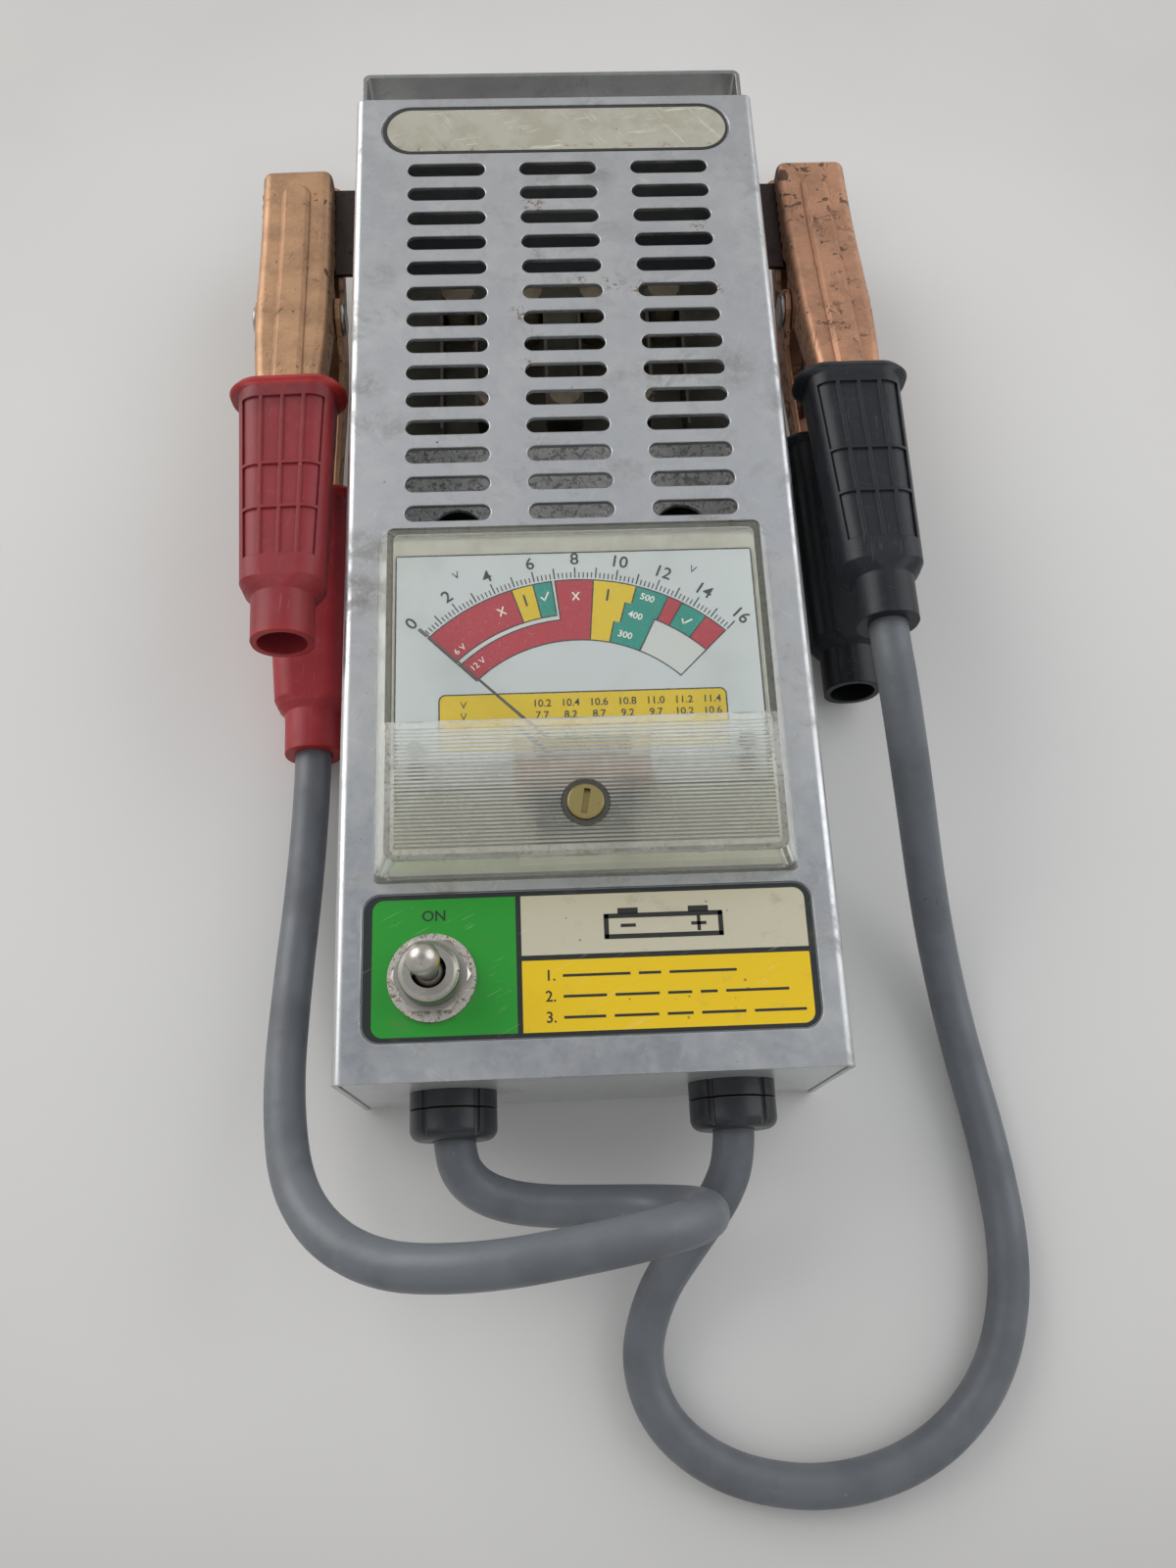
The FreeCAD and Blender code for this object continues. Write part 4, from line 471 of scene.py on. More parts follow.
@dataclass(frozen=True)
class Vinyl:
    """Soft dip-moulded vinyl with dust, scuffs, darker blotches below the lip and painted shade in its
    grooves.
    """

    name: str
    shade: Colour
    bright: Colour
    dust: Colour
    lip_y: float
    mouth_y: float
    roughness: float = 0.42
    dusty: float = 0.4

    def material(self) -> Material:
        """Make vinyl that is brighter at its thin lip and mouth and darker in blotches below the lip.

        Returns:
            The material.
        """
        sheet = Sheet(self.name)
        cloud = sheet.noise(8.0, 4.0, 0.6)
        fine = sheet.noise(0.7, 3.0, 0.6)
        lip = sheet.y.ramp(self.lip_y - 3.4, self.lip_y - 2.0)
        mouth = sheet.y.ramp(self.mouth_y + 1.6, self.mouth_y)
        # Darker blotches of the vinyl's own colour below the lip.
        under = sheet.y.ramp(self.lip_y - 16.0, self.lip_y - 4.0) * (1 - lip)
        scuff = sheet.scratches(5, 0.35, 0.8) | sheet.scratches(-70, 0.3, 0.5)
        film = sheet.blotches(4.5, 5.0, 0.7, 0.5, 0.72) * self.dusty
        dark = dimmed(self.shade, 0.5)
        tint = sheet.layers(
            self.shade, (lip | mouth * 0.8, self.bright),
            (cloud.ramp(0.4, 0.7) * 0.3, dimmed(self.shade, 0.62)),
            (under * cloud.ramp(0.25, 0.55) * 0.7, dark), (film * 0.3 | scuff * 0.3, self.dust),
            # Painted shade: the vinyl's own colour at half strength is laid in its grooves and corners.
            (sheet.hollows(1.6, 0.3, 0.75) * 0.15, dark))
        rough = self.roughness + 0.25 * film + 0.1 * (cloud - 0.5)
        height = fine * 0.3 + cloud * 0.6 - scuff * 0.3
        return sheet.finish(tint, rough, Specular_IOR_Level=0.35,
                            Normal=sheet.bump(height, 0.06, sheet.rounded(0.4)))


@dataclass(frozen=True)
class Moulding:
    """Hard moulded plastic, ceramic or board."""

    name: str
    shade: Colour
    second: Colour
    dust: Colour
    roughness: float = 0.45
    dusty: float = 0.3

    def material(self) -> Material:
        """Make a moulding with mottling, dust on its edges and painted shade in its grooves.

        Returns:
            The material.
        """
        sheet = Sheet(self.name)
        fine = sheet.noise(0.6, 3.0, 0.6)
        film = (sheet.edges(0.5) * 0.6 | sheet.blotches(3.0, 5.0, 0.7, 0.55, 0.75) * 0.4) * self.dusty
        # Painted shade: grooves and corners take the moulding's own colour at a quarter of its strength.
        tint = sheet.layers(
            self.shade, (sheet.blotches(6.0, 4.0, 0.6, 0.35, 0.68), self.second), (film, self.dust),
            (sheet.hollows(1.8, 0.3, 0.75) * 0.8, dimmed(self.shade, 0.25)))
        rough = self.roughness + 0.3 * film + 0.12 * (fine - 0.5)
        return sheet.finish(tint, rough, Normal=sheet.bump(fine, 0.03))


@dataclass(frozen=True)
class CableSheath:
    """Grey sheath of a heavy cable."""

    name: str
    shade: Colour

    def material(self) -> Material:
        """Make a satin sheath with marks and a little dirt.

        Returns:
            The material.
        """
        sheet = Sheet(self.name)
        cloud = sheet.noise(14.0, 4.0, 0.6)
        fine = sheet.noise(0.5, 3.0, 0.6)
        dark = sheet.blotches(3.2, 5.0, 0.7, 0.655, 0.7, 1.0) * sheet.blotches(30.0, 2.0, 0.55, 0.52, 0.62)
        tint = sheet.layers(
            self.shade, (cloud.ramp(0.4, 0.68), dimmed(self.shade, 0.8)), (dark * 0.7, paint(48, 47, 46)),
            (sheet.specks(5.0, 0.12, 0.25) * 0.35, paint(140, 143, 146)))
        rough = 0.36 + 0.18 * cloud.ramp(0.35, 0.7) + 0.2 * dark
        return sheet.finish(tint, rough, Normal=sheet.bump(fine * 0.3 + cloud, 0.12))


@dataclass(frozen=True)
class Ink:
    """Print ink, a little worn."""

    name: str
    shade: Colour
    worn: Colour

    def material(self) -> Material:
        """Make ink with thin places.

        Returns:
            The material.
        """
        sheet = Sheet(self.name)
        thin = sheet.blotches(0.6, 4.0, 0.7, 0.56, 0.75)
        tint = sheet.mix(thin * 0.5, self.shade, self.worn)
        return sheet.finish(tint, 0.5 + 0.1 * thin)


@dataclass(frozen=True)
class ClearCover:
    """Clear acrylic gone a little yellow, with hazy ribs, grimy corners and a painted highlight along its
    edges.
    """

    name: str
    window_y: float = 73.0
    top_z: float = 60.4
    ribs_half_w: float = 40.4
    ribs_y: float = 44.9
    screw_y: float = 54.0
    screw_r: float = 5.4
    tint: Colour = paint(254, 254, 252)
    frost: Colour = paint(216, 218, 213)

    def material(self) -> Material:
        """Make clear plastic that lets the light of the room through.

        Returns:
            The material.
        """
        sheet = Sheet(self.name)
        flat = abs(sheet.upward()).ramp(0.8, 0.97)
        top = (sheet.y < self.window_y) & (sheet.z > self.top_z)
        low = top * flat
        groove = top * (1 - flat) * (abs(sheet.x) < self.ribs_half_w) * (sheet.y > self.ribs_y)
        screw = (sheet.near(0.0, self.screw_y, self.screw_r) > 0.02) * top
        # Painted highlight: a near-white haze along the cover's edges, except on the ribs, the flat front and
        # the screw.
        painted_edge_highlight = sheet.edges(0.5, 0.06, 0.3) * (1 - groove) * (1 - low) * (1 - screw)
        fine = sheet.noise(0.8, 4.0, 0.65)
        streak = sheet.noise(1.0, 3.0, 0.6, sheet.scaled(sheet.place, (1 / 30, 2.0, 0.25)))
        patch = sheet.blotches(11.0, 4.0, 0.6, 0.3, 0.6)
        dust = sheet.blotches(9.0, 5.0, 0.7, 0.55, 0.75)
        speckle = sheet.blotches(1.1, 5.0, 0.75, 0.5, 0.66)
        edge = abs(sheet.x).ramp(37.4, 39.2) | sheet.y.ramp(46.4, 44.4)
        seat = (sheet.z.ramp(52.4, 50.3) | edge * top * 0.8) * speckle
        relief = sheet.bump(fine * 0.04 + streak * 0.05 * low, 0.1)
        glass = sheet.principled(
            sheet.mix(1 - flat, self.tint, paint(250, 250, 243)), 0.01 + 0.1 * low + 0.04 * dust,
            IOR=1.46, Transmission_Weight=1.0, Normal=relief)
        pale = sheet.layers(
            paint(172, 172, 164), (sheet.y.ramp(46.0, 66.0) | (1 - top), self.frost),
            (groove * sheet.y.ramp(72.0, 54.0), paint(124, 124, 116)), (screw, paint(74, 73, 66)),
            (painted_edge_highlight, paint(236, 236, 230)), (seat, paint(128, 112, 88)))
        grime = sheet.principled(pale, 0.45, Normal=relief)
        veil = low * (0.26 + 0.3 * patch) | groove * 0.6 | screw * 0.7
        wall = (1 - flat) * (1 - groove) * (0.1 + 0.06 * sheet.y.ramp(46.0, 43.6))
        haze = (0.02 * dust + 0.5 * seat + wall) | veil | painted_edge_highlight * 0.8
        body = sheet.node("MixShader", {}, {0: haze, 1: glass, 2: grime})
        clear = sheet.node("BsdfTransparent", {}, {"Color": paint(240, 239, 230)})
        shadow = sheet.node("LightPath", {}, {}, "Is Shadow Ray")
        return sheet.close(sheet.node("MixShader", {}, {0: shadow, 1: body, 2: clear}))


@dataclass(frozen=True)
class DialFace:
    """Printed dial: two banded scales, ticks and a number table."""

    name: str
    pivot_y: float = 63.6
    ground: Colour = paint(193, 202, 210)
    red: Colour = paint(170, 46, 62)
    yellow: Colour = paint(214, 186, 30)
    teal: Colour = paint(18, 138, 128)
    line: Colour = paint(44, 44, 46)
    white: Colour = paint(196, 202, 206)
    half_w: float = 40.8
    top_y: float = 118.0
    inner_r: float = 32.0
    outer_r: float = 47.2
    charge_r: float = 40.6
    gap_r: float = 37.3
    low_r: float = 38.5
    tick_r: float = 47.7
    outline: float = 0.16
    ticks: tuple[Triple, ...] = ((0.2, 49.1, 0.14), (1.0, 50.4, 0.17))

    def material(self) -> Material:
        """Make the dial's print as rings and sectors round the pointer's axis.

        Returns:
            The material.
        """
        sheet = Sheet(self.name)
        up = sheet.y - self.pivot_y
        radius = sheet.reach(sheet.x, up)
        volts = (sheet.x.math("ARCTAN2", up) * math.degrees(1.0) + SWEEP / 2) / VOLT_TURN
        step = (radius > 42.6) * 0.35 + (radius > 37.4) * 0.4
        rings = (
            (self.inner_r, self.outer_r, (
                (self.red, 0.0, 8.9), (self.yellow, 8.9, 10.3 + step),
                (self.teal, 10.3 + step, 12.5 + 0.02 * (radius - self.inner_r)))),
            (self.inner_r, self.charge_r, ((self.white, 12.55, FULL_SCALE),)),
            (self.charge_r, self.outer_r, (
                (self.red, 12.7, 13.45), (self.teal, 13.45, 14.8), (self.red, 14.8, FULL_SCALE))),
            (self.gap_r, self.outer_r + 0.8, ((self.white, 0.0, 7.0),)),
            (self.low_r, self.outer_r, (
                (self.red, 0.0, 4.8), (self.yellow, 4.8, 5.9), (self.teal, 5.9, 6.82))),
        )
        bands = [(r0, r1, *field) for r0, r1, fields in rings for field in fields]
        coats: list[tuple[Value, Colour]] = []
        for r0, r1, colour, v0, v1 in bands:
            for grow, ink in ((self.outline, self.line), (-self.outline, colour)):
                turn = (grow / VOLT_ARC) / radius
                ring = radius.between(r0 - grow, r1 + grow)
                coats.append((ring & volts.between(v0 - turn, v1 + turn), ink))
        coats.append((radius.between(self.outer_r + self.outline, 50.6), self.ground))
        for pitch, top, wide in self.ticks:
            off = abs((volts + pitch / 2) % pitch - pitch / 2) * VOLT_ARC * radius
            row = radius.between(self.tick_r, top) & volts.between(-0.05, FULL_SCALE + 0.05)
            coats.append(((off < wide) & row, self.line))
        reach = sheet.reach(abs(sheet.x - 0.7).beyond(30.2), sheet.y.beyond(81.5))
        above = sheet.y > 74.4
        border = (abs(sheet.x) > self.half_w - 0.3) | (sheet.y > self.top_y - 0.35)
        worn = sheet.blotches(0.5, 4.0, 0.7, 0.55, 0.74) * 0.32
        tint = sheet.layers(
            self.ground, *coats, ((reach < 1.62) & above, self.line), ((reach < 1.3) & above, self.yellow),
            (border, self.line), (worn, paint(190, 194, 196)))
        aged = sheet.blotches(22.0, 4.0, 0.6, 0.45, 0.75) * 0.35
        tint = sheet.mix(aged, tint, paint(214, 215, 205), "MULTIPLY")
        # Painted shade, with some dirt: the dial darkens towards its lower edge, under the ribbed part of the
        # cover.
        tint = sheet.mix(sheet.y.ramp(71.0, 50.0) * 0.55, tint, paint(120, 120, 114))
        return sheet.finish(tint, 0.5 + 0.2 * worn)


@dataclass(frozen=True)
class LabelFace:
    """Printed front label: green, cream and yellow fields in a black frame."""

    name: str
    green: Colour = paint(38, 150, 46)
    yellow: Colour = paint(233, 196, 26)
    cream: Colour = paint(198, 193, 171)
    line: Colour = paint(38, 42, 42)
    left: float = -45.1
    right: float = 45.6
    low: float = 9.0
    high: float = 37.6
    green_end: float = -15.3
    start: float = -14.2
    cream_low: float = 24.9
    yellow_high: float = 23.8
    corner: float = 2.4
    square: float = 0.05

    def material(self) -> Material:
        """Make the printed fields with dirt and chips, round only at the label's own corners.

        Returns:
            The material.
        """
        sheet = Sheet(self.name)
        fields = (
            (self.green, self.left, self.green_end, self.low, self.high, self.corner),
            (self.green, -24.0, self.green_end, self.low, self.high, self.square),
            (self.cream, self.start, self.right, self.cream_low, self.high, self.corner),
            (self.cream, self.start, 30.0, self.cream_low, self.high, self.square),
            (self.cream, self.start, self.right, self.cream_low, 30.0, self.square),
            (self.yellow, self.start, self.right, self.low, self.yellow_high, self.corner),
            (self.yellow, self.start, 30.0, self.low, self.yellow_high, self.square),
            (self.yellow, self.start, self.right, 18.0, self.yellow_high, self.square),
        )
        coats: list[tuple[Value, Colour]] = []
        for colour, x0, x1, y0, y1, radius in fields:
            off_x = abs(sheet.x - (x0 + x1) / 2).beyond((x1 - x0) / 2 - radius)
            off_y = abs(sheet.y - (y0 + y1) / 2).beyond((y1 - y0) / 2 - radius)
            coats.append((sheet.reach(off_x, off_y) < radius, colour))
        dirt = sheet.specks(2.4, 0.16, 0.4) | sheet.specks(4.5, 0.07, 0.5)
        film = sheet.blotches(7.0, 6.0, 0.72, 0.55, 0.78) * 0.35
        tint = sheet.layers(
            self.line, *coats, (film | sheet.hollows(2.0, 0.25, 0.8) * 0.5, paint(116, 106, 86)),
            (dirt * 0.6, paint(70, 62, 52)), (sheet.scratches(64, 0.3, 0.5) * 0.16, paint(226, 224, 214)))
        rough = 0.34 + 0.3 * film + 0.2 * dirt
        return sheet.finish(tint, rough, Normal=sheet.bump(sheet.noise(1.2), 0.02))


@dataclass(frozen=True)
class NameFace:
    """Bare cream plate with a dark outline."""

    name: str
    centre_y: float = 247.2
    half_l: float = 46.2
    half_w: float = 8.1
    cream: Colour = paint(178, 175, 160)
    line: Colour = paint(46, 48, 46)

    def material(self) -> Material:
        """Make a scuffed plate with grime along its edge.

        Returns:
            The material.
        """
        sheet = Sheet(self.name)
        reach = sheet.reach(abs(sheet.x).beyond(self.half_l - self.half_w), sheet.y - self.centre_y)
        cloud = sheet.noise(9.0, 5.0, 0.65)
        scuff = sheet.scratches(80, 0.35, 1.0) | sheet.scratches(-35, 0.3, 0.7)
        low_edge = sheet.y.ramp(self.centre_y - 4.0, self.centre_y - 7.2)
        chips = sheet.blotches(2.6, 5.0, 0.7, 0.56, 0.64, 0.6) * low_edge
        # Painted shadow: the dark outline is widened towards the plate's left end.
        left = sheet.x.ramp(-38.0, -46.0)
        outline = reach.between(self.half_w - 1.1 - 0.5 * left, self.half_w + 1.0)
        tint = sheet.layers(
            self.cream, (cloud.ramp(0.4, 0.66) * 0.7, paint(160, 156, 138)),
            (scuff * 0.5, paint(226, 224, 214)), (chips * 0.8, paint(112, 96, 76)), (outline, self.line),
            (sheet.specks(3.2, 0.1, 0.35) * 0.6, paint(84, 76, 64)))
        return sheet.finish(tint, 0.38 + 0.15 * cloud, Normal=sheet.bump(cloud, 0.03))


@dataclass(frozen=True)
class Galvanised:
    """Zinc-coated sheet with spangles and painted light."""

    name: str

    def material(self) -> Material:
        """Make spangled zinc with painted light and glints.

        Returns:
            The material.
        """
        sheet = Sheet(self.name)
        tint = sheet.node("TexVoronoi", {}, {"Vector": sheet.place, "Scale": 0.7}, "Color")
        level = sheet.node("SeparateColor", {}, {0: tint}, 0)
        fine = sheet.noise(0.6, 4.0, 0.75)
        crinkle_and_glints = sheet.noise(1.5, 4.0, 0.65, warp=0.6)
        # Painted light: a light grey to white, barely metallic colour lifts the dim shield inside the case,
        # and the bright crinkles are painted glints.
        shade = sheet.layers(paint(176, 173, 171), (crinkle_and_glints.ramp(0.4, 0.5), paint(255, 254, 252)),
                             (level * 0.3, paint(226, 224, 222)))
        return sheet.finish(shade, 0.26 + 0.2 * level, Metallic=0.08,
                            Normal=sheet.bump(fine * 0.5 + crinkle_and_glints * 1.5 + level * 0.4, 0.8))


def dress(finish: Finish, *nodes: str) -> Material:
    """Put one finish on CAD nodes.

    Args:
        finish: Their finish.
        nodes: The nodes' names.

    Returns:
        The finish's material.
    """
    material = finish.material()
    for node in nodes:
        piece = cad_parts[node]
        if not piece.material_slots:
            piece.data.materials.append(material)
        for slot in piece.material_slots:
            slot.material = material
        LOG.info("dressed %s in %s", node, material.name)
    return material


def pick(*pieces: Piece) -> None:
    """Select pieces alone and make the first the active one.

    Args:
        pieces: The pieces.
    """
    bpy.ops.object.select_all(action="DESELECT")
    for piece in pieces:
        piece.select_set(True)
    bpy.context.view_layer.objects.active = pieces[0]


def settle(piece: Piece, name: str, body: str, material: Material) -> None:
    """Apply a new piece's place, dress it and let it ride.

    Args:
        piece: The finished object.
        name: Its name.
        body: The CAD body it moves with.
        material: Its finish.
    """
    pick(piece)
    bpy.ops.object.transform_apply(location=True, rotation=True, scale=True)
    piece.name = name
    piece.data.name = name
    piece.data.materials.clear()
    piece.data.materials.append(material)
    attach(piece, body)
    LOG.info("made %s on %s", name, body)


def joined(parts: Sequence[Piece]) -> Piece:
    """Join meshes into the first.

    Args:
        parts: The mesh objects.

    Returns:
        The joined object.
    """
    pick(*parts)
    bpy.ops.object.join()
    return bpy.context.view_layer.objects.active


def lettering(text: str, place: Vector, height: float, turn: float = 0.0, bold: float = 0.0) -> Piece:
    """Set one numeral or sign as a flat mesh.

    Args:
        text: What it says.
        place: Its middle.
        height: Height of a capital in millimetres.
        turn: Turn to the right in degrees.
        bold: Added stroke width in millimetres.

    Returns:
        The mesh object.
    """
    bpy.ops.object.text_add(location=place, rotation=(0, 0, -math.radians(turn)))
    sign = bpy.context.object
    sign.data.body = text
    sign.data.align_x = "CENTER"
    sign.data.align_y = "CENTER"
    sign.data.size = height / CAP_SHARE * MM
    sign.data.offset = bold * MM
    sign.data.extrude = PRINT_DEPTH / 2 * MM
    sign.data.resolution_u = FONT_STEPS
    bpy.ops.object.convert(target="MESH")
    return bpy.context.object


def stroke(points: Sequence[Pair], z: float, width: float) -> Piece:
    """Draw a line of even width as a flat mesh.

    Args:
        points: Its corners in millimetres.
        z: Its height.
        width: Its width in millimetres.

    Returns:
        The mesh object.
    """
    parts = []
    for (x0, y0), (x1, y1) in zip(points, points[1:]):
        length = math.hypot(x1 - x0, y1 - y0) + width * END_SHARE
        bpy.ops.mesh.primitive_cube_add(
            size=1, location=spot((x0 + x1) / 2, (y0 + y1) / 2, z),
            scale=(length * MM, width * MM, PRINT_DEPTH * MM),
            rotation=(0, 0, math.atan2(y1 - y0, x1 - x0)))
        bar = bpy.context.object
        round_off = bar.modifiers.new("round", "BEVEL")
        round_off.width = min(width, PRINT_DEPTH) * EASE_SHARE * MM
        bpy.ops.object.modifier_apply(modifier=round_off.name)
        parts.append(bar)
    return joined(parts)


@dataclass
class Assembly:
    """A sub-assembly with a table of finishes for its CAD nodes."""

    coats: Coats

    def dress(self) -> None:
        """Put each finish on its nodes."""
        for coat in self.coats:
            dress(*coat)


@dataclass
class CaseShell(Assembly):
    """The plated case, its handle, rests, fasteners and bare plate."""

    coats: Coats = (
        (Chrome("worn_chrome", 0.27, 0.8, 0.88, rust=(
            (-6.7, 221.6, 4.0), (12.4, 196.8, 3.6), (3.8, 197.2, 3.0), (-11.1, 187.0, 3.6),
            (19.5, 194.5, 3.0), (35.5, 214.7, 3.0), (38.1, 194.0, 3.4), (-9.5, 172.0, 2.4),
        ), smudges=(
            (-48.2, 166.9, 6.0), (-48.3, 121.7, 7.0), (-50.4, 110.0, 9.0), (31.4, 128.5, 7.0),
            (40.4, 169.9, 9.0), (-46.0, 200.0, 6.0), (10.0, 232.0, 7.0),
        )), "front_cover"),
        (Chrome("bright_chrome", 0.2, 0.75, 0.4, paint(222, 223, 224), 0.8, 0.75, lined=True),
         "rear_chassis"),
        (Chrome("strap_chrome", 0.16, 0.4, 0.6, paint(160, 161, 160)), "carry_handle"),
        # Oxidised steel, its colour made darker as painted shade for the gap between the clamps and the case.
        (Steel("rest_steel_painted_shade", paint(66, 59, 57), 0.4, paint(46, 34, 28), 0.55, 2.5),
         "left_clamp_rest", "right_clamp_rest"),
        (Steel("zinc_steel", paint(176, 176, 172), 0.32, paint(110, 92, 70), 0.25, 1.0),
         "handle_screws", "handle_nuts", "case_screws"),
        (NameFace("name_plate_face"), "name_plate"),
    )


@dataclass
class FrontLabel:
    """The printed label under the meter."""

    face: LabelFace = LabelFace("label_face")
    ink: Ink = Ink("label_ink", paint(34, 36, 36), paint(70, 66, 56))
    line_y: tuple[float, ...] = (20.5, 16.2, 11.9)
    bars: tuple[tuple[float, ...], ...] = (
        (13.5, 4.14, 13.5), (8.46, 8.64, 4.5, 3.06, 12.6), (8.1, 8.64, 4.86, 8.64, 10.26),
    )
    on_at: Pair = (-32.3, 33.9)
    number_x: float = -8.4
    bar_x: float = -5.6
    bar_w: float = 0.55
    bar_gap: float = 2.2
    text_height: float = 2.3
    battery_at: Pair = (15.6, 31.0)
    battery: tuple[tuple[float, tuple[Pair, ...]], ...] = (
        (1.0, ((-12.0, -2.7), (12.0, -2.7), (12.0, 1.7), (-12.0, 1.7), (-12.0, -2.7))),
        (1.3, ((-9.0, 2.7), (-5.8, 2.7))), (0.7, ((-8.7, -0.4), (-6.1, -0.4))),
        (1.3, ((5.8, 2.7), (9.0, 2.7))), (0.7, ((6.1, -0.4), (8.7, -0.4))),
        (0.7, ((7.4, -1.7), (7.4, 0.9))),
    )

    def build(self) -> None:
        """Print the switch mark, the step numbers with plain bars and a battery sign."""
        dress(self.face, "front_label")
        z = Lay.LABEL.value
        marks = [lettering("ON", spot(*self.on_at, z), self.text_height, bold=BOLD)]
        for number, (y, bars) in enumerate(zip(self.line_y, self.bars), 1):
            marks.append(lettering(f"{number}.", spot(self.number_x, y, z), self.text_height, bold=BOLD))
            x = self.bar_x
            for length in bars:
                marks.append(stroke(((x, y), (x + length, y)), z, self.bar_w))
                x += length + self.bar_gap
        x, y = self.battery_at
        for width, line in self.battery:
            marks.append(stroke([(x + off_x, y + off_y) for off_x, off_y in line], z, width))
        settle(joined(marks), "label_print", "tester", self.ink.material())


@dataclass
class Meter(Assembly):
    """The moving-coil meter under its clear cover."""

    coats: Coats = (
        (ClearCover("clear_acrylic"), "meter_cover"),
        (DialFace("dial_face"), "dial_plate"),
        (Moulding("tray_moulding", paint(186, 187, 182), paint(174, 175, 168), paint(140, 132, 112), 0.4),
         "meter_case"),
        (Ink("needle_black", paint(78, 78, 80), paint(96, 96, 98)), "pointer"),
        (Steel("zero_brass", paint(172, 156, 104), 0.4, paint(84, 72, 42), 0.35, 0.9), "zero_screw"),
        (Steel("magnet_steel", paint(126, 126, 126), 0.4, paint(74, 66, 58), 0.3, 1.4),
         "movement_magnet", "dial_screws", "meter_studs"),
        (Steel("bridge_copper", paint(196, 160, 132), 0.36, paint(120, 84, 62), 0.3, 1.0), "movement_bridge"),
    )
    pivot_y: float = 63.6
    figure_r: float = 52.4
    dark: Ink = Ink("dial_ink", paint(50, 50, 52), paint(120, 122, 122))
    light: Ink = Ink("dial_white_ink", paint(232, 232, 230), paint(200, 196, 194))
    figure_h: float = 3.0
    figure_bold: float = 0.05
    unit_at: Pair = (27.0, 112.6)
    unit_h: float = 1.9
    unit_turn: float = 24.0
    columns: int = 7
    upper_row: Pair = (10.2, 0.2)
    lower_row: Pair = (7.7, 0.5)
    last_reading: float = 10.6
    column_x: float = -8.4
    column_step: float = 6.25
    row_y: Pair = (80.4, 77.6)
    row_unit_x: float = -25.6
    row_h: float = 1.75
    bar_volts: Pair = (5.3, 9.7)
    bar_r: Pair = (42.4, 45.0)
    bar_lean: float = 0.001
    bar_w: float = 0.45
    scale_names: tuple[tuple[str, float, float], ...] = (("6 V", 0.75, 40.2), ("12 V", 0.9, 34.8))
    scale_name_h: float = 1.5
    ratings: tuple[tuple[str, float, float], ...] = (
        ("500", 11.75, 45.0), ("400", 11.45, 39.9), ("300", 11.2, 34.6),
    )
    rating_h: float = 1.6
    rating_bold: float = 0.03
    signs_r: Pair = (43.0, 43.6)
    cross_volts: Pair = (3.9, 8.0)
    check_volts: Pair = (6.35, 14.1)
    mark_w: float = 0.35
    cross: tuple[tuple[Pair, ...], ...] = (((-0.16, -0.9), (0.16, 0.9)), ((0.16, -0.9), (-0.16, 0.9)))
    check: tuple[tuple[Pair, ...], ...] = (((-0.2, 0.0), (-0.04, -0.9), (0.22, 1.0)),)

    def table(self) -> tuple[list[str], list[str]]:
        """Give the two rows of figures in the yellow table.

        Returns:
            The upper and the lower row.
        """
        first, step = self.upper_row
        upper = [f"{first + step * column:.1f}" for column in range(self.columns)]
        first, step = self.lower_row
        lower = [f"{min(first + step * column, self.last_reading):.1f}" for column in range(self.columns)]
        return upper, lower

    def lean(self, volts: float) -> float:
        """Give the turn to the right of a reading, in degrees."""
        return volts * VOLT_TURN - SWEEP / 2

    def polar(self, volts: float, radius: float) -> Pair:
        """Give X and Y on the dial of a reading at a radius, in millimetres."""
        angle = math.radians(self.lean(volts))
        return radius * math.sin(angle), self.pivot_y + radius * math.cos(angle)

    def figure(self, text: str, volts: float, radius: float, height: float, bold: float = 0.0) -> Piece:
        """Set a figure at a reading and a radius, turned with the arc."""
        x, y = self.polar(volts, radius)
        return lettering(text, spot(x, y, Lay.DIAL.value), height, self.lean(volts), bold)

    def build(self) -> None:
        """Dress the meter's nodes and print the dial."""
        self.dress()
        z = Lay.DIAL.value
        readings = range(0, FULL_SCALE + 1, 2)
        dark = [self.figure(str(volts), volts, self.figure_r, self.figure_h, self.figure_bold)
                for volts in readings]
        unit_x, unit_y = self.unit_at
        for side in (-1, 1):
            dark.append(lettering("V", spot(side * unit_x, unit_y, z), self.unit_h, side * self.unit_turn))
        for row, y in zip(self.table(), self.row_y):
            for index, number in enumerate(row):
                place = spot(self.column_x + self.column_step * index, y, z)
                dark.append(lettering(number, place, self.row_h, bold=BOLD))
            dark.append(lettering("V", spot(self.row_unit_x, y, z), self.row_h))
        inner_r, outer_r = self.bar_r
        for volts in self.bar_volts:
            ends = self.polar(volts, inner_r), self.polar(volts + self.bar_lean, outer_r)
            dark.append(stroke(ends, z, self.bar_w))
        settle(joined(dark), "dial_figures", "tester", self.dark.material())
        light = [self.figure(*name, self.scale_name_h) for name in self.scale_names]
        light += [self.figure(*rating, self.rating_h, self.rating_bold) for rating in self.ratings]
        cross_r, check_r = self.signs_r
        for volts in self.cross_volts:
            light += self.sign(volts, cross_r, self.cross)
        for volts in self.check_volts:
            light += self.sign(volts, check_r, self.check)
        settle(joined(light), "dial_light_figures", "tester", self.light.material())

    def sign(self, volts: float, radius: float, lines: Sequence[Sequence[Pair]]) -> list[Piece]:
        """Draw a small sign whose corners lie so many volts and millimetres off a place on the dial."""
        routes = ([self.polar(volts + turn, radius + out) for turn, out in line] for line in lines)
        return [stroke(route, Lay.DIAL.value, self.mark_w) for route in routes]


